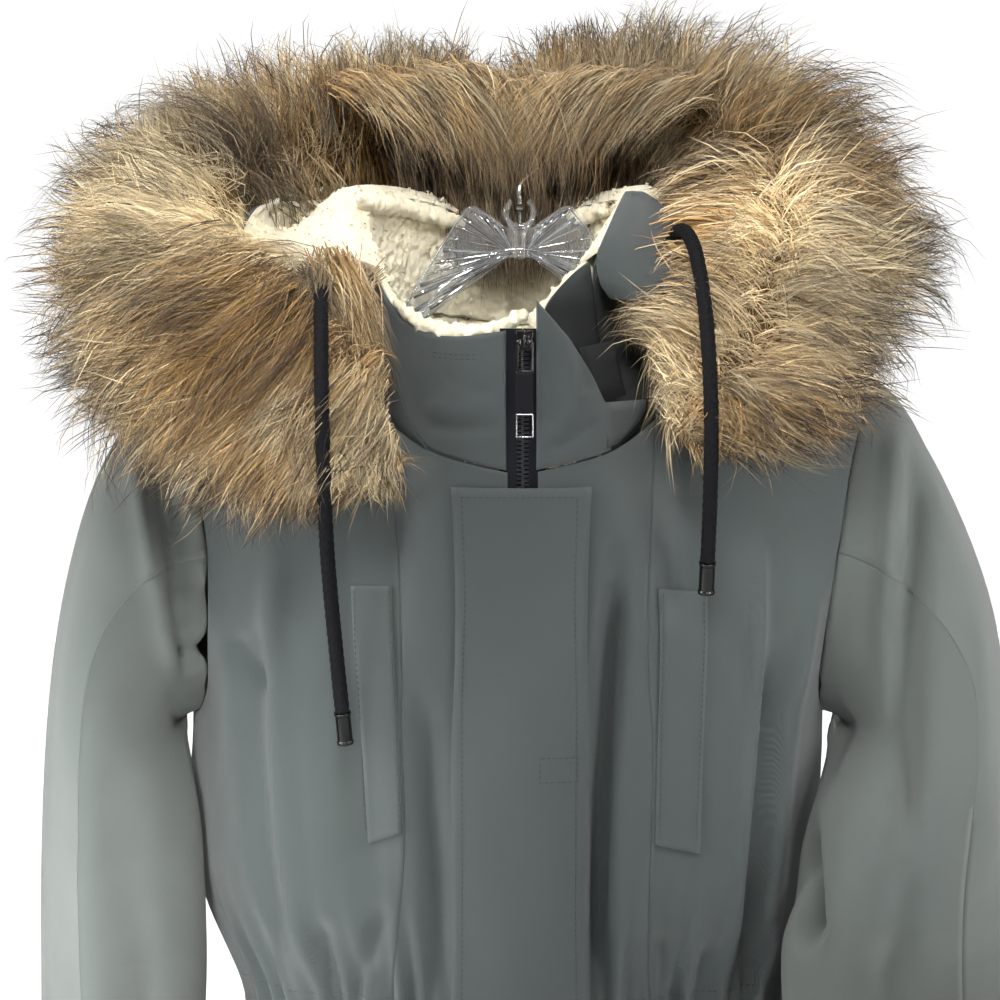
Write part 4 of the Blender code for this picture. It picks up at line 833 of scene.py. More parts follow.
def keepRims(piece, thickness):
    # edges between a wall's faces and its thin rim stay sharp when it is subdivided
    def mark(shape):
        layer = shape.edges.layers.float.get("crease_edge") or shape.edges.layers.float.new("crease_edge")
        thin = {face.index: face.calc_area() / max(edge.calc_length() for edge in face.edges)
                < thickness * 1.25 for face in shape.faces}
        for edge in shape.edges:
            if len(edge.link_faces) == 2 and any(thin[face.index] for face in edge.link_faces):
                if edge.calc_face_angle(0) > math.radians(48):
                    edge[layer] = 1.0
    reshape(piece, mark)


def subdivided(piece, levels):
    addModifier(piece, "finer", "SUBSURF", levels=levels, render_levels=levels)
    applyAll(piece)
    smoothTo(piece, 50)


def refined(piece, wanted):
    # one more split of the faces that carry fine creases
    def split(shape):
        faces = [face for face in shape.faces if wanted(face.calc_center_median(), face.normal)]
        edges = list({edge for face in faces for edge in face.edges})
        bmesh.ops.subdivide_edges(shape, edges=edges, cuts=1, use_grid_fill=True, smooth=0.0)
    reshape(piece, split)


def unwrap(piece, axis=None):
    # the weave runs round the body, or round a sleeve, and upright
    points = coordinates(piece.data)
    x, y = offMiddle(points, axis)
    behind = y.mean() > 0.02
    angle = np.arctan2(x, y if behind else -y)
    across = angle * weaveRadius["body" if axis is None else "sleeve"]
    layer = piece.data.uv_layers.new(name="weave")
    corners = np.empty(len(piece.data.loops), dtype=int)
    piece.data.loops.foreach_get("vertex_index", corners)
    layer.data.foreach_set("uv", np.column_stack([across, points[:, 2]])[corners].ravel())


# node: subdivision, cut width, cut length
shellPieces = {
    "back": (2, 0.560, 0.860),
    "front_centre_left": (2, 0.100, 0.780),
    "front_centre_right": (2, 0.100, 0.780),
    "front_side_left": (2, 0.250, 0.860),
    "front_side_right": (2, 0.250, 0.860),
    "storm_flap": (2, 0.082, 0.740),
    "welt_left": (2, 0.030, 0.148),
    "welt_right": (2, 0.032, 0.152),
    "sleeve_under_left": (2, 0.190, 0.520),
    "sleeve_under_right": (2, 0.190, 0.520),
    "sleeve_upper_left": (2, 0.220, 0.640),
    "sleeve_upper_right": (2, 0.220, 0.640),
    "collar_front_left": (3, 0.085, 0.085),
    "collar_front_right": (3, 0.055, 0.090),
    "collar_wing_right": (3, 0.070, 0.110),
    "hood_left": (2, 0.330, 0.240),
    "hood_right": (2, 0.330, 0.240),
}
bodyNodes = ("back", "front_centre_left", "front_centre_right", "front_side_left", "front_side_right",
             "storm_flap", "welt_left", "welt_right")


def frontward(centre, normal):
    return normal.y < -0.05 and centre.z > -0.60


def towardsFront(side):
    axis = sleeveAxes[side]

    def wanted(centre, normal):
        middle = np.interp(centre.z, axis[:, 0], axis[:, 2])
        return normal.y < 0.1 and centre.y < middle and centre.z > -0.62
    return wanted


def liftedFlap(points):
    # the flap lies flat along its middle, and follows the front at its two edges
    moved = points + bodyLift(points)
    plain = points + bodyOutward(points) * gentleWaves(points, softWaves)[:, None]
    edge = smoothStep(0.024, 0.036, abs(points[:, 0]))[:, None]
    return moved * (1 - edge) + plain * edge


def liftedCollar(points):
    flat = unit(np.column_stack([points[:, 0], points[:, 1] - neckCore["middleY"],
                                 np.zeros(len(points))]))
    lift = creased(points, collarCreases, (points[:, 1] < -0.105) / creaseDepth)
    return points + flat * lift[:, None]


def makeShell():
    made = {}
    for node, (levels, width, length) in shellPieces.items():
        sleeve = node.startswith("sleeve")
        # the sleeves take the paler copy of the cloth, which is painted light
        piece = mergedCopy(node, node + "_cloth", finishes["sleeve" if sleeve else "shell"])
        keepRims(piece, shellWall)
        subdivided(piece, levels)
        side = "left" if "left" in node else "right"
        if node.startswith("front"):
            refined(piece, frontward)
        elif sleeve:
            refined(piece, towardsFront(side))
        points = coordinates(piece.data)
        if node == "storm_flap":
            points = liftedFlap(points)
        elif node in bodyNodes:
            points = points + bodyLift(points)
        elif sleeve:
            points = points + sleeveLift(points, side, sleeveAxes[side])
        else:
            points = liftedCollar(points)
        setCoordinates(piece.data, points)
        if node == "collar_wing_right":
            # the fold strip takes the cloth with painted shade
            piece = joined(piece.name, [piece, clothStrip("tab", tabRows, finishes["shell"]),
                                        clothStrip("fold", foldRows, finishes["fold"])])
        unwrap(piece, sleeveAxes[side] if sleeve else None)
        dressed(piece, node)
        made[node] = piece
    return made


# strips of cloth beside the right front's collar, each from its top: two ends of every row
tabRows = (
    ((0.0455, -0.1235, -0.1680), (0.0700, -0.1010, -0.1672)),
    ((0.0462, -0.1240, -0.1740), (0.0698, -0.1030, -0.1725)),
    ((0.0468, -0.1245, -0.1800), (0.0665, -0.1060, -0.1785)),
    ((0.0474, -0.1250, -0.1860), (0.0605, -0.1120, -0.1850)),
    ((0.0480, -0.1252, -0.1925), (0.0530, -0.1190, -0.1915)),
)
foldRows = (
    ((0.0330, -0.1110, -0.1380), (0.0520, -0.1000, -0.1340)),
    ((0.0355, -0.1130, -0.1480), (0.0540, -0.1020, -0.1440)),
    ((0.0390, -0.1150, -0.1590), (0.0565, -0.1040, -0.1560)),
    ((0.0420, -0.1170, -0.1700), (0.0600, -0.1060, -0.1690)),
)


def clothStrip(name, rows, finish):
    points = []
    across = np.linspace(0, 1, 6)[:, None]
    for start, end in rows:
        points += list(np.array(start) * (1 - across) + np.array(end) * across)
    piece = meshFrom(name, points, gridFaces(len(rows), 6), finish)
    addModifier(piece, "cloth", "SOLIDIFY", thickness=0.0008, offset=0)
    applyAll(piece)
    return piece


def paintShadeInFold():
    # painted shade on the cloth at the bottom of the fold between the collar and the hood
    wing, hood = shell["collar_wing_right"].data, shell["hood_right"].data
    for mesh, box in ((wing, ((0.0, 0.047), (-0.20, -0.04))), (hood, ((0.030, 0.105), (-0.190, -0.096)))):
        if finishes["fold"].name not in mesh.materials:
            mesh.materials.append(finishes["fold"])
        for face in mesh.polygons:
            x, y, z = face.center
            if box[0][0] < x < box[0][1] and box[1][0] < z < box[1][1] and y < -0.045:
                face.material_index = mesh.materials.find(finishes["fold"].name)


shell = makeShell()
paintShadeInFold()
print("stage: shell cloth")


# sherpa: curly pile on the visible side of each lining

sherpaLook = {
    "curl": 0.0052, "depth": 0.0023, "fineCurl": 0.0026, "fineDepth": 0.0007,
    "locks": 3600, "lockLength": 0.0028, "lockWidth": 0.0008, "seed": 21,
    "lockTurns": (0.9, 1.9, 2.9), "lockTaper": (1.0, 1.25, 0.9, 0.1), "lining": 0.0062, "foot": -0.20,
}
# node: subdivision, split again, cut width, cut length
sherpaPieces = {
    "collar_lining": (3, True, 0.520, 0.150),
    "hood_lining": (3, False, 0.560, 0.220),
    "back_neck_facing": (3, False, 0.130, 0.070),
}


def curlHeight(point, look):
    broad = noise.voronoi(point / look["curl"])[0][0]
    fine = noise.voronoi(point / look["fineCurl"] + Vector((7.3, 1.9, 4.2)))[0][0]
    return (0.50 - broad) * look["depth"] * 1.5 + (0.5 - fine) * look["fineDepth"]


def makeSherpa(node, levels, again, backing):
    piece = mergedCopy(node, node + "_pile", finishes["sherpa"])
    keepRims(piece, sherpaLook["lining"])
    subdivided(piece, levels)
    if again:
        refined(piece, lambda centre, normal: backing.find_nearest(centre)[3] > 0.0035 and normal.y < 0.35)
    points, normals = coordinates(piece.data), vertexNormals(piece.data)
    for index, (point, normal) in enumerate(zip(points, normals)):
        place = Vector(point)
        free = float(smoothStep(0.0012, 0.0042, backing.find_nearest(place)[3]))
        points[index] = place + Vector(normal) * (curlHeight(place, sherpaLook) * free)
    setCoordinates(piece.data, points)
    dressed(piece, node)
    return piece


def sherpaLocks(pieces, backing, look):
    # small curled locks that stand on the pile side and soften its outline
    draws = np.random.default_rng(look["seed"])
    centres, normals, areas = [], [], []
    for piece in pieces:
        for face in piece.data.polygons:
            if face.center.z > look["foot"] and backing.find_nearest(face.center)[3] > 0.0032:
                centres.append(face.center[:])
                normals.append(face.normal[:])
                areas.append(face.area)
    centres, normals = np.array(centres), np.array(normals)
    chosen = draws.choice(len(centres), look["locks"], p=np.array(areas) / np.sum(areas))
    root = centres[chosen] + draws.normal(0, 0.0007, (look["locks"], 3))
    up = normals[chosen]
    side = unit(np.cross(up, draws.normal(size=up.shape)))
    length = look["lockLength"] * draws.uniform(0.6, 1.3, (look["locks"], 1))
    path = [root - up * 0.0005]
    for angle in look["lockTurns"]:
        path.append(root + up * length * 0.42 * math.sin(angle)
                    + side * length * 0.30 * (1 - math.cos(angle)))
    points = np.stack(path, axis=1)
    width = look["lockWidth"] * np.array(look["lockTaper"])
    across = np.cross(up, side)[:, None] * width[None, :, None]
    colours = np.ones((*points.shape[:2], 4))
    piece = strandPiece("sherpa_locks", points, np.broadcast_to(across, points.shape), colours,
                        finishes["sherpa"])
    dressed(piece)


def strandPiece(name, points, across, colours, material):
    # flat, tapering strands that end in a point, as one mesh
    count, rows = points.shape[:2]
    sides = np.stack([points + across, points - across], axis=2)
    body = sides[:, :-1].reshape(count, -1, 3)
    vertices = np.concatenate([body, points[:, -1:]], axis=1)
    per = vertices.shape[1]
    tint = np.repeat(colours[:, :-1], 2, axis=1)
    tint = np.concatenate([tint, colours[:, -1:]], axis=1)
    first = (np.arange(count) * per)[:, None]
    quads = []
    for row in range(rows - 2):
        low = 2 * row
        quads.append(first + np.array([[low, low + 1, low + 3, low + 2]]))
    quads = np.concatenate(quads, axis=1).reshape(-1)
    tips = (first + np.array([[per - 3, per - 2, per - 1]])).reshape(-1)
    mesh = bpy.data.meshes.new(name)
    mesh.vertices.add(count * per)
    mesh.vertices.foreach_set("co", vertices.ravel())
    mesh.loops.add(len(quads) + len(tips))
    mesh.loops.foreach_set("vertex_index", np.concatenate([quads, tips]).astype(np.int32))
    starts = np.concatenate([np.arange(0, len(quads), 4), len(quads) + np.arange(0, len(tips), 3)])
    mesh.polygons.add(len(starts))
    mesh.polygons.foreach_set("loop_start", starts.astype(np.int32))
    mesh.update(calc_edges=True)
    layer = mesh.color_attributes.new("strand", "FLOAT_COLOR", "POINT")
    layer.data.foreach_set("color", tint.ravel())
    mesh.shade_smooth()
    return link(name, mesh, material)


# where pile closes over a seam or rolls over an edge: radius, route
pileRolls = (
    (0.0052, ((-0.0930, -0.0600, -0.0560), (-0.0800, -0.0370, -0.0580), (-0.0690, -0.0185, -0.0594),
              (-0.0550, -0.0055, -0.0626), (-0.0420, 0.0020, -0.0662), (-0.0330, 0.0070, -0.0692))),
    (0.0048, ((0.0290, 0.0100, -0.0662), (0.0400, 0.0020, -0.0632), (0.0530, -0.0075, -0.0600))),
    (0.0052, ((-0.0640, 0.0100, -0.1230), (-0.0500, 0.0190, -0.1262), (-0.0350, 0.0262, -0.1288),
              (-0.0180, 0.0306, -0.1312), (0.0, 0.0330, -0.1326), (0.0180, 0.0320, -0.1320))),
    (0.0042, ((-0.0700, -0.1000, -0.1130), (-0.0580, -0.1120, -0.1232), (-0.0440, -0.1215, -0.1282),
              (-0.0280, -0.1275, -0.1288), (-0.0130, -0.1298, -0.1268), (-0.0020, -0.1288, -0.1210),
              (0.0020, -0.1262, -0.1150))),
)


def makePileRolls(rolls):
    pieces = []
    for radius, route in rolls:
        path = smoothCurve(route, 120)
        share = np.linspace(0, 1, len(path))
        width = radius * np.sqrt(np.clip(1 - (2 * share - 1) ** 8, 0.02, 1))
        piece = rodMesh("pile_roll", path, width, 15, finishes["sherpa"])
        points, normals = coordinates(piece.data), vertexNormals(piece.data)
        for index, (point, normal) in enumerate(zip(points, normals)):
            points[index] = point + normal * curlHeight(Vector(point), sherpaLook) * 1.3
        setCoordinates(piece.data, points)
        pieces.append(piece)
    piece = joined("sherpa_seam_pile", pieces)
    dressed(piece)
    return piece


def makeLinings():
    backing = treeOf(nodesOf("hood_left", "hood_right", "collar_front_left", "collar_wing_right", "back"))
    pieces = [makeSherpa(node, levels, again, backing)
              for node, (levels, again, width, length) in sherpaPieces.items()]
    sherpaLocks(pieces, backing, sherpaLook)
    return pieces + [makePileRolls(pileRolls)]


linings = makeLinings()
print("stage: sherpa")


# fur: tufts of fine strands that grow from a strip round the hood's edge

# place, middle x, y, z, reach outward, reach across, lean, parting
ruffRows = np.array((
    (0.0, -0.0700, -0.150, -0.2060, 0.022, 0.018, -60.0, 172.0),
    (1.0, -0.1080, -0.150, -0.1826, 0.052, 0.022, -62.0, 172.0),
    (2.0, -0.1727, -0.126, -0.1469, 0.070, 0.036, -38.0, 170.0),
    (3.0, -0.2134, -0.075, -0.0919, 0.056, 0.042, -10.0, 165.0),
    (4.0, -0.2008, -0.005, -0.0440, 0.047, 0.042, 20.0, 155.0),
    (5.0, -0.1680, 0.048, -0.0220, 0.046, 0.041, 45.0, 145.0),
    (6.0, -0.1060, 0.082, -0.0077, 0.047, 0.040, 68.0, 135.0),
    (7.0, -0.0500, 0.086, -0.0077, 0.048, 0.040, 72.0, 130.0),
    (8.0, -0.0170, 0.087, -0.0170, 0.040, 0.036, 74.0, 125.0),
    (9.0, 0.0215, 0.087, -0.0050, 0.047, 0.040, 72.0, 125.0),
    (10.0, 0.0710, 0.085, 0.0010, 0.050, 0.042, 68.0, 125.0),
    (11.0, 0.1270, 0.058, -0.0077, 0.054, 0.044, 50.0, 120.0),
    (12.0, 0.1617, 0.003, -0.0430, 0.061, 0.046, 20.0, 112.0),
    (13.0, 0.1590, -0.072, -0.0980, 0.067, 0.046, -5.0, 102.0),
    (14.0, 0.1270, -0.130, -0.1520, 0.056, 0.036, -32.0, 105.0),
    (15.0, 0.0890, -0.146, -0.1850, 0.024, 0.020, -60.0, 110.0),
))
furLook = {
    "clumps": 700,           # tufts in each piece
    "perClump": 26,
    "perClumpBehind": 16,
    "steps": 4,              # straight runs in a strand
    "width": 0.00032,
    "rootSpread": 0.0062,
    "gather": 0.50,          # how far a tuft closes at its tip
    "tipSpread": 0.0036,
    "wave": 0.0016,
    "sag": 0.010,
    "stray": 0.009,
    "guards": 0.32,          # share of tufts with long dark tips
}
furPieces = {
    "fur_trim_left": (("fur_left_front", -0.05, 4.0, 3), ("fur_left_back", 4.0, 8.10, 4)),
    "fur_trim_right": (("fur_right_back", 8.12, 12.0, 5), ("fur_right_front", 12.0, 15.05, 6)),
}
furEnds = {"fur_trim_left": (0.0, 8.08), "fur_trim_right": (8.12, 15.0)}


def ruffColumn(column, place):
    return np.interp(place, ruffRows[:, 0], ruffRows[:, column])


def ruffFrame(place):
    before, here, after = (np.stack([ruffColumn(axis, place + shift) for axis in (1, 2, 3)], axis=-1)
                           for shift in (-0.4, 0, 0.4))
    along = unit(after - before)
    flat = unit(np.stack([here[..., 0], here[..., 1] - neckCore["middleY"], np.zeros_like(place)], -1))
    lean = np.radians(ruffColumn(6, place))[..., None]
    out = flat * np.cos(lean) + np.array([0, 0, 1.0]) * np.sin(lean)
    out = unit(out - along * np.sum(out * along, axis=-1, keepdims=True))
    return here, along, out, np.cross(along, out)


def ruffPoint(place, angle, radius, taper):
    here, _, out, cross = ruffFrame(place)
    turn = np.radians(angle)
    spread = ruffColumn(4, place) * radius * taper
    loft = ruffColumn(5, place) * radius * taper
    return here + out * (np.cos(turn) * spread)[..., None] + cross * (np.sin(turn) * loft)[..., None]


def taperAt(place, ends):
    share = np.clip((place - ends[0]) / (ends[1] - ends[0]), 0.004, 0.996)
    return np.minimum(1.0, 0.40 + 1.9 * np.sqrt(np.minimum(share, 1 - share)))


def patchField(places, angles, seed):
    # broad, uneven patches of tone over the fur, from -1 to 1
    draws = np.random.default_rng(seed)
    field = np.zeros(len(places))
    for _ in range(7):
        way = draws.normal(size=2) * (2.6, 0.035)
        field += np.sin(places * way[0] + angles * way[1] + draws.uniform(0, math.tau))
    return field / 2.6


def ruffStrands(first, last, seed, ends, look):
    draws = np.random.default_rng(seed)
    clumps = look["clumps"]
    reach = ruffColumn(4, np.linspace(first, last, 200))
    places = np.interp(draws.uniform(0, 1, clumps), np.cumsum(reach) / reach.sum(),
                       np.linspace(first, last, 200))
    front = draws.uniform(0, 1, clumps) < 0.84
    angles = np.where(front, draws.uniform(0, 188, clumps), draws.uniform(-105, 0, clumps))
    guard = draws.uniform(0, 1, clumps) < look["guards"]
    parting = ruffColumn(7, places) + draws.normal(0, 13, clumps)
    beyond = angles > parting
    tipAngles = np.where(beyond, angles + draws.uniform(10, 45, clumps),
                         angles * draws.uniform(0.30, 0.66, clumps))
    tipAngles = tipAngles + draws.normal(0, 12, clumps)
    rootRadius = 0.42 + 0.44 * smoothStep(105, 165, angles)
    tipRadius = np.where(guard, draws.uniform(1.12, 1.46, clumps), draws.uniform(0.74, 1.08, clumps))
    inner = (places > 12.2) * (places < 14.9) * (angles > 128)
    tipRadius = np.where(inner, draws.uniform(1.10, 1.55, clumps), tipRadius)
    tipAngles = np.where(inner, draws.uniform(160, 196, clumps), tipAngles)
    drift = draws.normal(0, 0.20, clumps)
    curl = draws.normal(0, 0.0050, (clumps, 3))
    patches = patchField(places, angles, 77)
    hue = np.clip(0.44 + 0.36 * patchField(places, angles, 78) + draws.normal(0, 0.24, clumps), 0, 1)
    tone = np.clip(0.48 + 0.09 * patches + draws.normal(0, 0.08, clumps), 0.22, 0.8)
    pale = whorls(places, angles)
    tone = tone + 0.16 * pale
    hue = hue * np.clip(1 - pale, 0, 1)
    darkness = np.where(guard, draws.uniform(0.85, 1.0, clumps), draws.uniform(0.05, 0.80, clumps))
    darkness = darkness + 0.35 * smoothStep(70, 10, angles) * smoothStep(-80, 0, angles)
    # painted shade, by place round the ruff
    shade = shadePatches(places, angles)

    behind = 4 <= first and last <= 12
    owner = np.repeat(np.arange(clumps), look["perClumpBehind" if behind else "perClump"])
    count = len(owner)
    step = np.linspace(0, 1, look["steps"] + 1)[None]
    wild = draws.uniform(0, 1, count) < 0.12
    gather = np.where(wild, 0.0, look["gather"] + draws.uniform(-0.25, 0.30, count))
    here = ruffColumn(4, places)[owner]
    rootPlace = draws.normal(0, look["rootSpread"], count) / 0.06
    rootAngle = np.degrees(draws.normal(0, look["rootSpread"], count) / (here * 0.7))
    length = draws.uniform(0.66, 1.06, count)
    run = step * length[:, None]
    close = 1 - gather[:, None] * smoothStep(0.15, 1.0, step)
    place = places[owner][:, None] + rootPlace[:, None] * close + drift[owner][:, None] * run ** 1.5
    angle = (angles[owner][:, None] + rootAngle[:, None] * close
             + (tipAngles - angles)[owner][:, None] * run ** 1.25)
    radius = rootRadius[owner][:, None] + (tipRadius - rootRadius)[owner][:, None] * (
        1 - np.clip(1 - run, 0, 1) ** 1.9)
    place = np.clip(place, ends[0] - 0.1, ends[1] + 0.1)
    points = ruffPoint(place, angle, radius, taperAt(place, ends))
    points[..., 2] -= look["sag"] * run ** 2 * smoothStep(0.4, -0.4, np.cos(np.radians(angle))) * 0.8
    points[..., 2] -= look["sag"] * 0.5 * run ** 2
    points += curl[owner][:, None] * (run ** 2)[..., None]
    scatter = draws.normal(0, look["tipSpread"], (count, 3))
    scatter = np.where(wild[:, None], draws.normal(0, look["stray"], (count, 3)), scatter)
    points += scatter[:, None] * (run ** 1.6)[..., None]
    middle = ruffFrame(place)[0]
    return points, middle, owner, {"tone": tone, "hue": hue, "dark": darkness, "shade": shade}


def overlayStrands(tufts, seed, look):
    # tufts that fall from the hood's edge past the collar and the hook: root, bend and tip, each with its
    # half spread across, then how many tufts, and how much painted shade they carry
    draws = np.random.default_rng(seed)
    guides, shades = [], []
    for root, bend, tip, spread, clumps, shade in tufts:
        for _ in range(clumps):
            shift = float(np.clip(draws.normal(0, 0.55), -1.4, 1.4))
            jitter = draws.normal(0, 1, (3, 3)) * (0.006, 0.003, 0.006)
            ends = np.array([root, bend, tip]) + jitter
            ends[:, 0] += shift * np.array(spread)
            guides.append(ends)
            shades.append(shade)
    guides = np.array(guides)
    owner = np.repeat(np.arange(len(guides)), look["perClump"] - 3)
    count = len(owner)
    step = np.linspace(0, 1, look["steps"] + 1)[None, :, None]
    length = draws.uniform(0.72, 1.05, (count, 1, 1))
    run = step * length
    root, bend, tip = (guides[owner][:, None, k] for k in range(3))
    points = root * (1 - run) ** 2 + bend * 2 * run * (1 - run) + tip * run ** 2
    points = points + draws.normal(0, look["rootSpread"] * 0.6, (count, 1, 3)) * (1 - 0.5 * step)
    points = points + draws.normal(0, look["tipSpread"], (count, 1, 3)) * step ** 1.5
    middle = points + np.array([0.0, 0.05, -0.02])
    clumps = len(guides)
    looks = {"tone": np.clip(draws.normal(0.46, 0.07, clumps), 0.25, 0.7),
             "hue": draws.uniform(0.1, 0.9, clumps), "dark": draws.uniform(0.2, 1.0, clumps),
             "shade": np.array(shades)}
    return points, middle, owner, looks


# how far tips may reach past the solids' box, and how softly they are held back
furReach = {"start": (0.003, 0.002, 0.020), "more": (0.008, 0.006, 0.010)}


def heldIn(points):
    for axis in range(3):
        start, more = furReach["start"][axis], furReach["more"][axis]
        low, high = cadBounds[0][axis] - start, cadBounds[1][axis] + start
        below = np.clip(low - points[..., axis], 0, None)
        above = np.clip(points[..., axis] - high, 0, None)
        points[..., axis] += below - more * (1 - np.exp(-below / more))
        points[..., axis] -= above - more * (1 - np.exp(-above / more))
    return points


def furPiece(name, strands, seed, look):
    points, middle, owner, looks = strands
    points = heldIn(points)
    draws = np.random.default_rng(seed + 100)
    count = len(owner)
    step = np.linspace(0, 1, points.shape[1])[None]
    tangents = unit(np.gradient(points, axis=1))
    across = unit(np.cross(tangents, points - middle))
    lifted = np.cross(across, tangents)
    phase = draws.uniform(0, math.tau, (count, 1))
    wiggle = look["wave"] * np.sin(phase + step * draws.uniform(2.5, 6.0, (count, 1))) * step
    points = points + across * wiggle[..., None]
    twist = draws.uniform(-0.9, 0.9, count)[:, None, None]
    across = across * np.cos(twist) + lifted * np.sin(twist)
    width = look["width"] * draws.uniform(0.6, 1.35, count)[:, None] * (1 - 0.72 * step ** 2.0)
    shape = points.shape[:2]
    tone = np.clip(looks["tone"][owner] * draws.uniform(0.78, 1.24, count), 0.15, 0.95)
    hue = np.clip(looks["hue"][owner] + draws.normal(0, 0.12, count), 0, 1)
    darkStart = draws.uniform(0.32, 0.76, count)[:, None]
    dark = (looks["dark"][owner] * draws.uniform(0.6, 1.15, count))[:, None] * smoothStep(
        darkStart - 0.16, darkStart + 0.12, step)
    # dark tips are the fur's own colour; the shade laid over them is painted shade
    dark = np.maximum(dark, looks["shade"][owner][:, None] * draws.uniform(0.7, 1.1, count)[:, None])
    colours = np.stack([np.broadcast_to(step, shape), np.broadcast_to(tone[:, None], shape),
                        np.clip(dark, 0, 1), np.broadcast_to(hue[:, None], shape)], axis=-1)
    piece = strandPiece(name, points, across * width[..., None], colours, finishes["fur"])
    dressed(piece)
    print("fur", name, len(piece.data.polygons))
    return piece


# how dark the painted shade is, middle place, half width, and the angles between which it comes in
furShades = ((0.85, 4.7, 0.8, 90, 140), (0.80, 7.9, 1.3, 125, 165), (0.80, 12.05, 0.22, 15, 50),
             (0.80, 11.3, 0.7, 120, 160), (0.55, 4.15, 0.25, 0, 40))


def whorls(places, angles):
    # paler fur round the two points from which it turns outwards
    left = hump(places, 3.4, 0.8) * smoothStep(105, 160, angles)
    right = hump(places, 13.0, 0.8) * smoothStep(60, 100, angles) * smoothStep(150, 120, angles)
    inner = (0.5 * smoothStep(2.2, 3.2, places) * smoothStep(4.6, 3.8, places)
             * smoothStep(60, 110, angles))
    return np.clip(left + right + inner, 0, 1.2)


def shadePatches(places, angles):
    # painted shade: fur is darker over the hood's back, beside the hook, and in a few bands, where shade
    # falls
    shade = sum(amount * hump(places, middle, width) * smoothStep(low, high, angles)
                for amount, middle, width, low, high in furShades)
    return np.clip(shade, 0, 0.9)


# root, bend, tip, half spread at each, tufts, painted shade
overlays = (
    ((-0.002, 0.062, -0.022), (-0.002, 0.008, -0.046), (0.000, 0.0090, -0.094),
     (0.052, 0.050, 0.044), 80, 0.92),
    ((-0.002, 0.034, -0.040), (-0.002, 0.007, -0.060), (-0.001, 0.0080, -0.102),
     (0.044, 0.042, 0.034), 70, 0.90),
    ((-0.004, 0.050, 0.000), (-0.002, -0.012, 0.006), (0.000, -0.006, -0.046),
     (0.054, 0.048, 0.040), 90, 0.70),
    ((-0.056, 0.046, 0.008), (-0.042, -0.024, 0.026), (-0.016, -0.018, -0.026),
     (0.046, 0.044, 0.034), 120, 0.08),
    ((0.060, 0.046, 0.008), (0.046, -0.024, 0.026), (0.018, -0.018, -0.026),
     (0.046, 0.044, 0.034), 120, 0.12),
    ((-0.103, -0.104, -0.096), (-0.096, -0.128, -0.104), (-0.086, -0.134, -0.152),
     (0.010, 0.010, 0.010), 46, 0.08),
    ((-0.111, -0.104, -0.094), (-0.112, -0.132, -0.100), (-0.110, -0.139, -0.126),
     (0.007, 0.007, 0.006), 14, 0.85),
)


def furUnderlay(name, ends, seed):
    # the strip's backing and deep pile, seen between the tufts; its dark brown is painted shade for the
    # gaps
    rows, around = 90, 26
    place = np.linspace(ends[0], ends[1], rows)[:, None] + np.zeros((1, around))
    angle = np.arange(around)[None] * 360.0 / around + np.zeros((rows, 1))
    draws = np.random.default_rng(seed)
    radius = 0.62 + 0.20 * smoothStep(110, 180, angle) * smoothStep(250, 180, angle)
    radius = radius + draws.uniform(-0.05, 0.05, (rows, around))
    points = ruffPoint(place, angle, radius, taperAt(place, ends))
    flat = list(points.reshape(-1, 3)) + [points[0].mean(0), points[-1].mean(0)]
    return facedOutwards(meshFrom(name, flat, tubeFaces(rows, around), finishes["underlay_shade"]))


def makeFur():
    for node, parts in furPieces.items():
        dressed(furUnderlay(node + "_underlay", furEnds[node], 11), node)
        for name, first, last, seed in parts:
            strands = ruffStrands(max(first, furEnds[node][0]), min(last, furEnds[node][1]), seed,
                                  furEnds[node], furLook)
            furPiece(name, strands, seed, furLook)
    furPiece("fur_over_collar_and_hook", overlayStrands(overlays, 31, furLook), 31, furLook)


makeFur()
print("stage: fur")


# the hood's own cloth shows as a band between the wing and the fur

# height, left and right ends
bandRows = ((-0.0500, 0.0600, 0.0700), (-0.0560, 0.0565, 0.0800), (-0.0650, 0.0520, 0.0860),
            (-0.0750, 0.0470, 0.0900), (-0.0850, 0.0425, 0.0920), (-0.0940, 0.0420, 0.0920),
            (-0.1040, 0.0445, 0.0920), (-0.1120, 0.0500, 0.0900))


bandLook = {"columns": 12, "rows": 24, "proud": 0.0030, "cloth": 0.0009, "flat": (0.060, 0.090)}


def neighbours(depths):
    padded = np.pad(depths, 1, mode="edge")
    return padded[:-2, 1:-1], padded[2:, 1:-1], padded[1:-1, :-2], padded[1:-1, 2:]


def makeHoodBand(look):
    tree = treeOf(linings + [shell["collar_wing_right"], shell["hood_right"]])
    columns, depths, grid = look["columns"], [], []
    rows = np.array(bandRows)[::-1]
    for height in np.linspace(bandRows[0][0], bandRows[-1][0], look["rows"]):
        left, right = (np.interp(height, rows[:, 0], rows[:, side]) for side in (1, 2))
        for x in np.linspace(left, right, columns):
            hit = tree.ray_cast(Vector((x, -0.3, height)), Vector((0, 1, 0)))[0]
            depths.append(hit.y if hit else np.nan)
            grid.append((x, height))
    depths = np.array(depths).reshape(-1, columns)
    depths = np.where(np.isnan(depths), np.nanmean(depths, axis=1, keepdims=True), depths)
    for _ in range(3):
        depths = np.minimum.reduce([*neighbours(depths), depths])
    for _ in range(6):
        depths = sum(neighbours(depths)) / 4
    points = [(x, depth - look["proud"], z) for (x, z), depth in zip(grid, depths.ravel())]
    piece = meshFrom("hood_front_band", points, gridFaces(look["rows"], columns), finishes["shell"])
    addModifier(piece, "cloth", "SOLIDIFY", thickness=look["cloth"])
    addModifier(piece, "finer", "SUBSURF", levels=1, render_levels=1)
    applyAll(piece)
    unwrap(piece)
    dressed(piece)


makeHoodBand(bandLook)


# sewing: single stitches in rows on the cloth

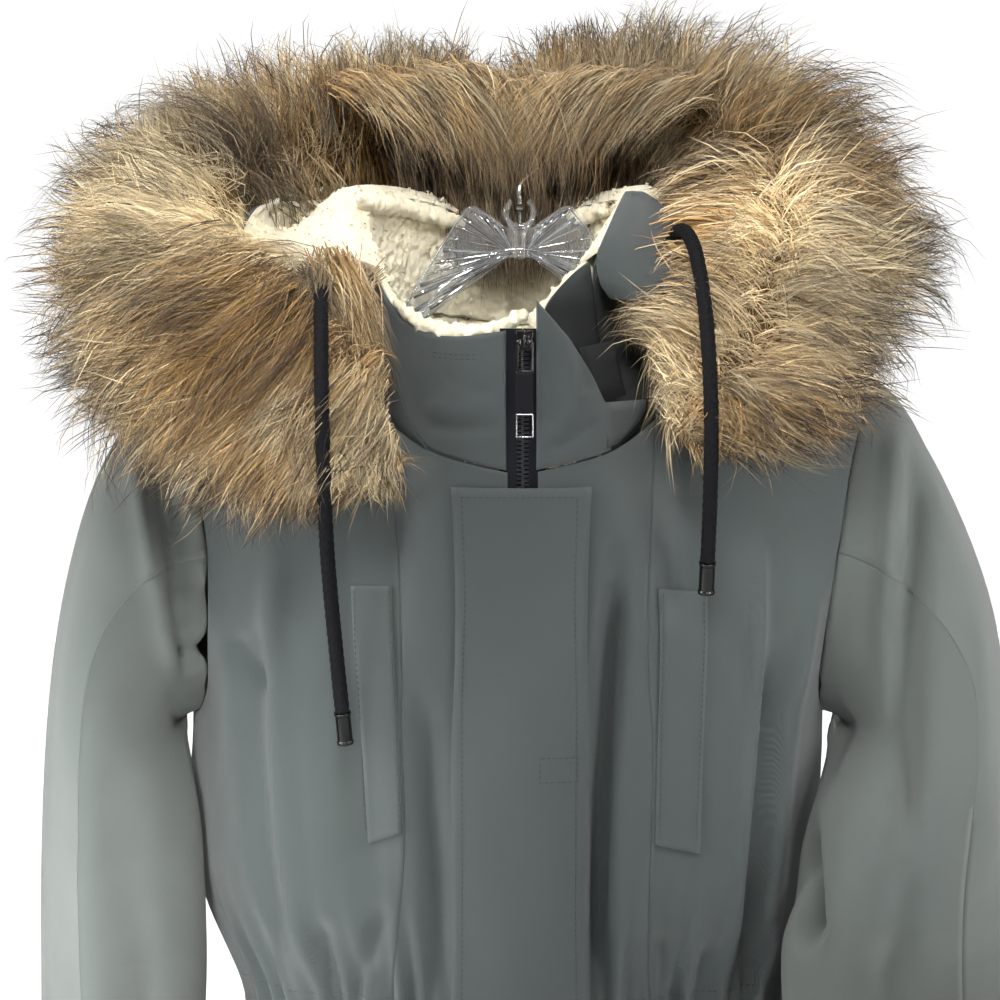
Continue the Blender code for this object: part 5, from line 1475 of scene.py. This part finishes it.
stitchLook = {"length": 0.0026, "gap": 0.0008, "half": 0.00030}
stitchRows = {
    "needleStep": 0.004,
    "flap": (-0.2195, -0.940),                   # its top and foot
    "flapTop": ((-0.0340, -0.2195), (0.0320, -0.2195)),
    "flapBox": ((0.0105, -0.3640), (0.0315, -0.3640), (0.0315, -0.3775), (0.0105, -0.3775),
                (0.0105, -0.3640)),
    "welt": 0.0022,                              # in from its edges
    "collar": ((-0.0490, -0.1400), (-0.0350, -0.1414), (-0.0240, -0.1412)),
    "collarDrops": (0.0, 0.0024),
    "collarFoot": ((-0.0530, -0.1830), (-0.0530, -0.1990)),
    "waist": (-0.5040, -0.5260),
    "hem": -0.936,
    "bodyMiddle": (0.0, -0.030),
    "cuffs": (-0.7520, -0.7350),
}


def stitchMesh(paths, look):
    points, faces = [], []
    for path, normals in paths:
        run = runOf(path)
        starts = np.arange(0.0004, run[-1] - look["length"], look["length"] + look["gap"])
        for start in starts:
            ends = np.array([start, start + look["length"] * 0.22, start + look["length"] * 0.78,
                             start + look["length"]])
            line = np.column_stack(readAt(ends, run, path))
            up = unit(np.array(readAt(start, run, normals)))
            side = unit(np.cross(line[3] - line[0], up)) * look["half"]
            lift = up * look["half"]
            first = len(points)
            points.append(line[0] - lift * 0.4)
            for place in line[1:3]:
                points += [place + side, place + lift, place - side, place - lift]
            points.append(line[3] - lift * 0.4)
            for k in range(4):
                after = (k + 1) % 4
                faces += [(first, first + 1 + after, first + 1 + k),
                          (first + 1 + k, first + 1 + after, first + 5 + after, first + 5 + k),
                          (first + 9, first + 5 + k, first + 5 + after)]
    return points, faces


def castRow(tree, starts, ways):
    # where a row of needles meets the cloth, and which way the cloth faces there
    places, normals = [], []
    for start, way in zip(starts, ways):
        hit, normal, _, _ = tree.ray_cast(Vector(start), Vector(way))
        if hit is not None:
            places.append(np.array(hit) - np.array(way) * 0.00012)
            normals.append(-np.array(way) if normal.dot(Vector(way)) > 0 else np.array(normal))
    return np.array(places), np.array(normals)


def frontRow(tree, ends):
    ends = np.array(ends)
    count = max(3, int(stepLengths(ends).sum() / stitchRows["needleStep"]))
    x, z = readAt(np.linspace(0, len(ends) - 1, count), np.arange(len(ends)), ends)
    starts = np.column_stack([x, np.full(count, -0.4), z])
    return castRow(tree, starts, np.tile((0.0, 1.0, 0.0), (count, 1)))


def roundRow(tree, middle, reach, height, gap=1.1):
    # all round, apart from where the cosine of the angle from the front is above gap
    angles = [angle for angle in np.linspace(0, math.tau, 320) if math.cos(angle) <= gap]
    ways = np.array([(-math.sin(angle), math.cos(angle), 0.0) for angle in angles])
    starts = np.array([(middle[0], middle[1], height)]) - ways * reach
    return castRow(tree, starts, ways)


def edgeOf(node, height, side):
    points = coordinates(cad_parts[node].data)
    near = points[abs(points[:, 2] - height) < 0.030]
    return near[:, 0].min() if side < 0 else near[:, 0].max()


def makeStitches(look):
    body = treeOf([shell[name] for name in bodyNodes])
    collar = treeOf([shell[name] for name in ("collar_front_left", "collar_front_right")])
    rows = []
    levels = np.linspace(*look["flap"], 14)
    for side, inset in ((-1, 0.0060), (1, 0.0078)):
        rows.append(frontRow(body, [(edgeOf("storm_flap", z, side) - side * inset, z) for z in levels]))
    rows += [frontRow(body, look["flapTop"]), frontRow(body, look["flapBox"])]
    for name in ("welt_left", "welt_right"):
        low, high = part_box(name)
        top, foot = high[2] - look["welt"], low[2] + 0.0050
        for edge in (-1, 1):
            rows.append(frontRow(body, [(edgeOf(name, z, edge) - edge * look["welt"], z)
                                        for z in np.linspace(top, foot, 6)]))
    for drop in look["collarDrops"]:
        rows.append(frontRow(collar, [(x, z - drop) for x, z in look["collar"]]))
    rows.append(frontRow(collar, look["collarFoot"]))
    for height in look["waist"]:
        rows.append(roundRow(body, look["bodyMiddle"], 0.45, height, 0.9))
    rows.append(roundRow(body, look["bodyMiddle"], 0.45, look["hem"]))
    for side in ("left", "right"):
        sleeve = treeOf([shell[name] for name in sleeveNodes(side)])
        axis = sleeveAxes[side]
        middle = [float(np.interp(look["cuffs"][0], axis[:, 0], axis[:, k])) for k in (1, 2)]
        rows += [roundRow(sleeve, middle, 0.12, height) for height in look["cuffs"]]
    rows = [row for row in rows if len(row[0]) > 2]
    points, faces = stitchMesh(rows, stitchLook)
    piece = meshFrom("stitches", points, faces, finishes["stitch"])
    dressed(piece)
    print("stitches", len(faces))


seamLook = {"foot": -0.9440, "top": -0.3300, "proud": 0.0004, "radius": 0.0019}


def sideSeam(side, look):
    # the folded edge that joins back and front down the side
    front, back = (coordinates(shell[name].data) for name in (f"front_side_{side}", "back"))
    sign = -1 if side == "left" else 1
    back = back[back[:, 0] * sign > 0]
    path = []
    for height in np.linspace(look["foot"], look["top"], 60):
        rows = [points[abs(points[:, 2] - height) < 0.012] for points in (front, back)]
        ends = [rows[0][rows[0][:, 1].argmax()], rows[1][rows[1][:, 1].argmin()]]
        x, y = (ends[0][:2] + ends[1][:2]) / 2
        path.append((x - sign * look["proud"], y, height))
    return rodMesh("side_seam_" + side, smoothCurve(path, 110), look["radius"], 8, finishes["shell"])


def makeSideSeams(look):
    piece = joined("side_seams", [sideSeam(side, look) for side in ("left", "right")])
    unwrap(piece)
    dressed(piece)


makeStitches(stitchRows)
makeSideSeams(seamLook)
print("stage: hood band and stitches")


# zip: teeth, slider and pull

zipLook = {
    "centre": 0.00105, "top": -0.1385, "foot": -0.9440, "pitch": 0.0024,
    "toothWidth": 0.0034, "toothHeight": 0.00135, "toothDepth": 0.0016, "overlap": 0.0009, "nose": 0.0009,
}
sliderLook = {"middle": (0.0020, -0.1408, -0.1332), "width": 0.0096, "depth": 0.0056, "height": 0.0112}
pullLook = {
    "middle": 0.0020, "front": -0.14325, "thick": 0.0014, "width": 0.0098, "bar": 0.0015,
    "links": {"frame": (-0.1332, 0.0180), "strap": (-0.1504, 0.0236), "end": (-0.1733, 0.0132)},
}


def tapeFront(tape, height):
    # the tape's front at one height, from its solid
    return tape.ray_cast(Vector((-0.0020, -0.4, height)), Vector((0, 1, 0)))[0].y


def makeTeeth(look):
    heights = np.arange(look["top"], look["foot"], -look["pitch"] / 2)
    levels = np.linspace(look["top"], look["foot"], 40)
    tape = treeOf([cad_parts["zip_tape_left"]])
    fronts = np.interp(-heights, -levels, [tapeFront(tape, level) for level in levels])
    points, faces = [], []
    for index, (height, front) in enumerate(zip(heights, fronts)):
        side = -1 if index % 2 else 1
        inner = look["centre"] - side * look["overlap"]
        outer = look["centre"] + side * look["toothWidth"]
        back = inner + side * look["nose"]
        half, nose = look["toothHeight"] / 2, look["toothHeight"] * 0.62
        outline = [(outer, -half * 0.8), (outer, half * 0.8), (back, half * 0.75),
                   (inner, nose), (inner, -nose), (back, -half * 0.75)]
        if side < 0:
            outline = outline[::-1]
        first, middle = len(points), (inner + outer) / 2
        for depth, shrink in ((0.0004, 1.0), (-look["toothDepth"] * 0.7, 1.0), (-look["toothDepth"], 0.72)):
            points += [(middle + (x - middle) * shrink, front + depth, height + z * shrink)
                       for x, z in outline]
        for ring in (0, 6):
            for k in range(6):
                after = (k + 1) % 6
                faces.append((first + ring + k, first + ring + after, first + ring + 6 + after,
                              first + ring + 6 + k))
        faces.append(tuple(first + 12 + k for k in range(6)))
        faces.append(tuple(first + k for k in reversed(range(6))))
    piece = facedOutwards(meshFrom("zip_teeth", points, faces, finishes["teeth"], smooth=False))
    dressed(piece)
    print("teeth", len(heights))


def makeSlider(look):
    x, y, z = look["middle"]
    bpy.ops.object.select_all(action="DESELECT")
    bpy.ops.mesh.primitive_cube_add(size=1, location=look["middle"])
    body = newest("slider_body", finishes["gunmetal"])
    body.scale = (look["width"], look["depth"], look["height"])
    placed(body)
    bpy.ops.object.mode_set(mode="EDIT")
    shape = bmesh.from_edit_mesh(body.data)
    bmesh.ops.subdivide_edges(shape, edges=shape.edges[:], cuts=3, use_grid_fill=True)
    for vertex in shape.verts:
        share = min(max((z + look["height"] / 2 - vertex.co.z) / look["height"], 0.0), 1.0)
        vertex.co.x = x + (vertex.co.x - x) * (1 - 0.34 * share ** 1.6)
        if vertex.co.y < y - 0.001 and share < 0.1 and abs(vertex.co.x - x) < 0.002:
            vertex.co.z -= 0.0022          # the notch between the two channels
        if vertex.co.y < y - 0.001:
            vertex.co.y -= 0.0005 * math.cos((vertex.co.x - x) / look["width"] * math.pi)
    bmesh.update_edit_mesh(body.data)
    bpy.ops.object.mode_set(mode="OBJECT")
    bevelled(body, 0.0004)
    bpy.ops.mesh.primitive_torus_add(major_segments=32, minor_segments=10, major_radius=0.0032,
                                     minor_radius=0.0008, location=(x, y - 0.0016, z),
                                     rotation=(0, math.pi / 2, 0))
    bridge = newest("slider_bridge", finishes["gunmetal"])
    bridge.scale = (1.35, 0.95, 1.0)
    placed(bridge)
    bpy.ops.mesh.primitive_torus_add(major_segments=28, minor_segments=8, major_radius=0.0025,
                                     minor_radius=0.0006, location=(x, y - 0.0030, z - 0.0008),
                                     rotation=(math.pi / 2, 0, 0))
    eye = placed(newest("slider_eye", finishes["gunmetal"]))
    piece = smoothTo(joined("zip_slider_crown", [body, bridge, eye]), 45)
    dressed(piece, "zip_slider")


def pullerSheet(name, top, height, look, share, cuts, finish):
    # an upright grid in the puller's plane, with its middle
    bpy.ops.object.select_all(action="DESELECT")
    middle = (look["middle"], look["front"], top - height / 2)
    bpy.ops.mesh.primitive_grid_add(x_subdivisions=cuts[0], y_subdivisions=cuts[1], size=1,
                                    location=middle, rotation=(math.pi / 2, 0, 0))
    piece = newest(name, finish)
    piece.scale = (look["width"] * share, height, 1)
    return placed(piece), middle


def openLink(name, top, height, bar, look, finish):
    # a rectangular wire link: a grid whose middle face is taken out
    piece, middle = pullerSheet(name, top, height, look, 1, (3, 3), finish)

    def cut(shape):
        for vertex in shape.verts:
            x, z = vertex.co.x - middle[0], vertex.co.z - middle[2]
            if abs(x) < look["width"] * 0.3:
                vertex.co.x = middle[0] + math.copysign(look["width"] / 2 - bar, x)
            if abs(z) < height * 0.3:
                vertex.co.z = middle[2] + math.copysign(height / 2 - bar, z)
        centre = [face for face in shape.faces
                  if (face.calc_center_median() - Vector(middle)).length < 0.001]
        bmesh.ops.delete(shape, geom=centre, context="FACES")
        bmesh.ops.recalc_face_normals(shape, faces=shape.faces)
    reshape(piece, cut)
    addModifier(piece, "wire", "SOLIDIFY", thickness=look["thick"], offset=0)
    return bevelled(piece, 0.00045)


def strapBetween(name, top, height, look, finish):
    piece, middle = pullerSheet(name, top, height, look, 0.98, (8, 14), finish)

    def swell(shape):
        for vertex in shape.verts:
            across = (vertex.co.x - middle[0]) / (look["width"] / 2)
            along = (vertex.co.z - middle[2]) / (height / 2)
            vertex.co.y -= 0.00028 * (1 - along ** 4) * (1 - 0.5 * across ** 2)
    reshape(piece, swell)
    addModifier(piece, "webbing", "SOLIDIFY", thickness=look["thick"] * 0.85, offset=0)
    return bevelled(piece, 0.0003, 2)


def makePull(look):
    parts = [openLink("puller_" + name, *look["links"][name], look["bar"] * share, look, finishes[finish])
             for name, share, finish in (("frame", 1.0, "gunmetal"), ("end", 0.55, "wire"))]
    parts.append(strapBetween("puller_strap", *look["links"]["strap"], look, finishes["strap"]))
    piece = joined("zip_puller", parts)
    dressed(piece, "zip_pull", "pull")


makeTeeth(zipLook)
makeSlider(sliderLook)
makePull(pullLook)
print("stage: zip")


# hanger: a clear moulded arm plate with radiating ribs, an open ring and a wire hook

hangerLook = {
    "foot": (0.0, -0.0850), "ribs": 23, "ribHalf": (0.00035, 0.00115), "ribHeight": 0.0010,
    "lines": 4, "lineStep": 0.0019, "lineRadius": 0.00050, "edgeRadius": 0.00085, "legRadius": 0.0012,
}
# distance from the middle, middle depth, top, foot, thickness
hangerRows = np.array((
    (0.000, 0.0000, -0.0722, -0.0880, 0.0050), (0.010, 0.0000, -0.0700, -0.0892, 0.0046),
    (0.020, 0.0000, -0.0630, -0.0945, 0.0042), (0.029, 0.0000, -0.0590, -0.0990, 0.0040),
    (0.037, -0.0010, -0.0680, -0.1045, 0.0040), (0.046, -0.0040, -0.0825, -0.1110, 0.0042),
    (0.066, -0.0170, -0.1150, -0.1380, 0.0045), (0.076, -0.0220, -0.1212, -0.1450, 0.0046),
))
# where the ribs end, from the ring's side outwards and back along the foot
ribEnds = np.array(((0.0105, -0.0712), (0.0200, -0.0650), (0.0285, -0.0612), (0.0365, -0.0700),
                    (0.0450, -0.0840), (0.0540, -0.0985), (0.0620, -0.1110), (0.0600, -0.1270),
                    (0.0450, -0.1095), (0.0360, -0.1030), (0.0270, -0.0975), (0.0180, -0.0930)))


def plateDepth(x):
    return [float(np.interp(abs(x), hangerRows[:, 0], hangerRows[:, k])) for k in (1, 4)]


def hangerRibs(look):
    points, faces = [], []
    run = np.linspace(0, len(ribEnds) - 1, look["ribs"])
    for side in (-1, 1):
        for index, place in enumerate(run):
            end = np.array(readAt(place, np.arange(len(ribEnds)), ribEnds))
            start = np.array([0.0042, look["foot"][1] + 0.0012 * math.sin(index * 2.1)])
            way = unit(end - start)
            cross = np.array([-way[1], way[0]])
            for face in (-1, 1):
                first = len(points)
                for step in np.linspace(0, 1, 7):
                    middle = start + (end - start) * step
                    half = np.interp(step, (0, 1), look["ribHalf"]) * (1 + 0.3 * math.sin(index * 1.7))
                    depth, thick = plateDepth(middle[0])
                    base = depth + face * (thick / 2 - 0.0002)
                    peak = depth + face * (thick / 2 + look["ribHeight"] * (0.35 + 0.65 * step))
                    for offset, level in ((-half, base), (0, peak), (half, base)):
                        x, z = middle + cross * offset
                        points.append((side * x, level, z))
                for k in range(6):
                    a = first + 3 * k
                    faces += [(a, a + 1, a + 4, a + 3), (a + 1, a + 2, a + 5, a + 4),
                              (a + 2, a, a + 3, a + 5)]
                faces += [(first, first + 2, first + 1), (first + 18, first + 19, first + 20)]
    piece = meshFrom("hanger_ribs", points, faces, finishes["clear"])
    # painted highlights: some ribs take the silvered glint finish in place of clear plastic
    piece.data.materials.append(finishes["glint"])
    for face in piece.data.polygons:
        rib = face.index // 40           # 20 faces on each side of the plate
        if rib % 5 in (0, 2) or rib in (3, 6, 9):
            face.material_index = 1
    return facedOutwards(piece)


def makeHanger(look):
    plate = smoothTo(mergedCopy("hanger_body", "hanger_plate", finishes["clear"]), 30)
    parts = [plate, hangerRibs(look)]
    for line in range(look["lines"]):
        path = []
        for x in np.linspace(-0.066, 0.066, 67):
            foot = np.interp(abs(x), hangerRows[:, 0], hangerRows[:, 3])
            depth, thick = plateDepth(x)
            path.append((x, depth - thick / 2, foot + 0.0010 + look["lineStep"] * line))
        # one lip line takes the painted glint
        finish = finishes["glint" if line == 2 else "clear"]
        parts.append(rodMesh("lip_line", path, look["lineRadius"], 8, finish))
    for side in (-1, 1):
        edge = [(side * x, depth, top) for x, depth, top, _, _ in hangerRows[1:]]
        parts.append(rodMesh("edge_bead", smoothCurve(edge, 40), look["edgeRadius"], 8, finishes["clear"]))
        leg = [(side * 0.0022, -0.0018, -0.0890), (side * 0.0022, -0.0020, -0.0800),
               (side * 0.0030, -0.0014, -0.0735), (side * 0.0058, -0.0004, -0.0690),
               (side * 0.0078, 0.0, -0.0655)]
        parts.append(rodMesh("ring_leg", smoothCurve(leg, 24), look["legRadius"], 12, finishes["clear"]))
        # a silvered strip beside each leg: painted glint
        shine = [(x + side * 0.0006, y - 0.0011, z) for x, y, z in leg]
        parts.append(rodMesh("leg_shine", smoothCurve(shine, 24), 0.0004, 8, finishes["glint"]))
    piece = joined("hanger_moulding", parts)
    piece.visible_shadow = False            # clear plastic lets the light through
    dressed(piece, "hanger_body")


def dressNodes():
    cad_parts["hanger_ring"].visible_shadow = False
    # solids whose own shape is right
    looks = {"zip_tape_left": "tape", "zip_tape_right": "tape", "hanger_ring": "clear",
             "hanger_hook": "steel"}
    for node, look in looks.items():
        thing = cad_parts[node]
        if thing.material_slots:
            thing.material_slots[0].material = finishes[look]
        else:
            thing.data.materials.append(finishes[look])


makeHanger(hangerLook)
dressNodes()
print("stage: hanger")


# studio

studio = {
    "floor": -1.15,
    "seen": 1.05,            # how bright the backdrop looks
    "ambient": 0.21,         # how much it lights
    # name: place, aim, size, power, how wide it spreads in degrees
    "lights": {
        "left": ((-2.3, -0.75, 0.4), (-0.1, -0.05, -0.35), 1.1, 44.0, 180),
        "right": ((2.2, -0.35, 0.7), (0.1, 0.0, -0.35), 1.1, 11.5, 180),
        "front": ((0.5, -2.6, 1.6), (0.0, 0.0, -0.2), 1.4, 4.5, 180),
        "top": ((0.0, 0.1, 2.0), (0.0, 0.0, -0.2), 1.2, 14.0, 180),
        "behind": ((0.9, 2.4, 1.1), (0.0, 0.0, -0.4), 1.4, 24.0, 180),
        "left_side": ((-0.85, -0.80, -0.50), (-0.25, -0.02, -0.42), 0.35, 0.74, 50),
        "right_side": ((0.85, -0.90, -0.20), (0.24, -0.02, -0.34), 0.35, 0.77, 50),
        "collar": ((-0.1, -1.3, 1.0), (-0.12, -0.05, -0.09), 0.35, 1.30, 40),
        "left_sleeve": ((-0.35, -1.6, -0.30), (-0.28, -0.03, -0.46), 0.30, 0.74, 17),
        "right_sleeve": ((0.45, -1.6, -0.25), (0.28, -0.03, -0.30), 0.30, 0.24, 15),
    },
}


def backdropShader(tree, look):
    # the backdrop looks white, and lights the coat more softly
    path = tree.nodes.new("ShaderNodeLightPath")
    gain = mathNode(tree, "MULTIPLY", path.outputs["Is Camera Ray"], look["seen"] - look["ambient"])
    return mathNode(tree, "ADD", gain, look["ambient"])


def makeStudio(studio):
    scene = bpy.context.scene
    scene.view_settings.view_transform = "Standard"
    scene.world = bpy.data.worlds.new("studio")
    scene.world.use_nodes = True
    tree = scene.world.node_tree
    background = tree.nodes["Background"]
    background.inputs["Color"].default_value = (1, 1, 1, 1)
    tree.links.new(backdropShader(tree, studio), background.inputs["Strength"])
    bpy.ops.mesh.primitive_plane_add(size=16, location=(0, 0, studio["floor"]))
    pale = plainMaterial("pale floor", (0.86, 0.86, 0.86), 0.9, 30.0, 0.0001)
    shader = pale.node_tree.nodes["Principled BSDF"]
    shader.inputs["Emission Color"].default_value = (1, 1, 1, 1)
    pathOfLight = pale.node_tree.nodes.new("ShaderNodeLightPath")
    pale.node_tree.links.new(pathOfLight.outputs["Is Camera Ray"], shader.inputs["Emission Strength"])
    floor = placed(newest("floor", pale))
    for name, (place, aim, size, power, spread) in studio["lights"].items():
        data = bpy.data.lights.new(name, "AREA")
        data.size = size
        data.energy = power
        data.spread = math.radians(spread)
        lamp = bpy.data.objects.new(name, data)
        lamp.location = place
        lamp.rotation_euler = (Vector(aim) - Vector(place)).to_track_quat("-Z", "Y").to_euler()
        scene.collection.objects.link(lamp)


makeStudio(studio)
print("stage: studio")
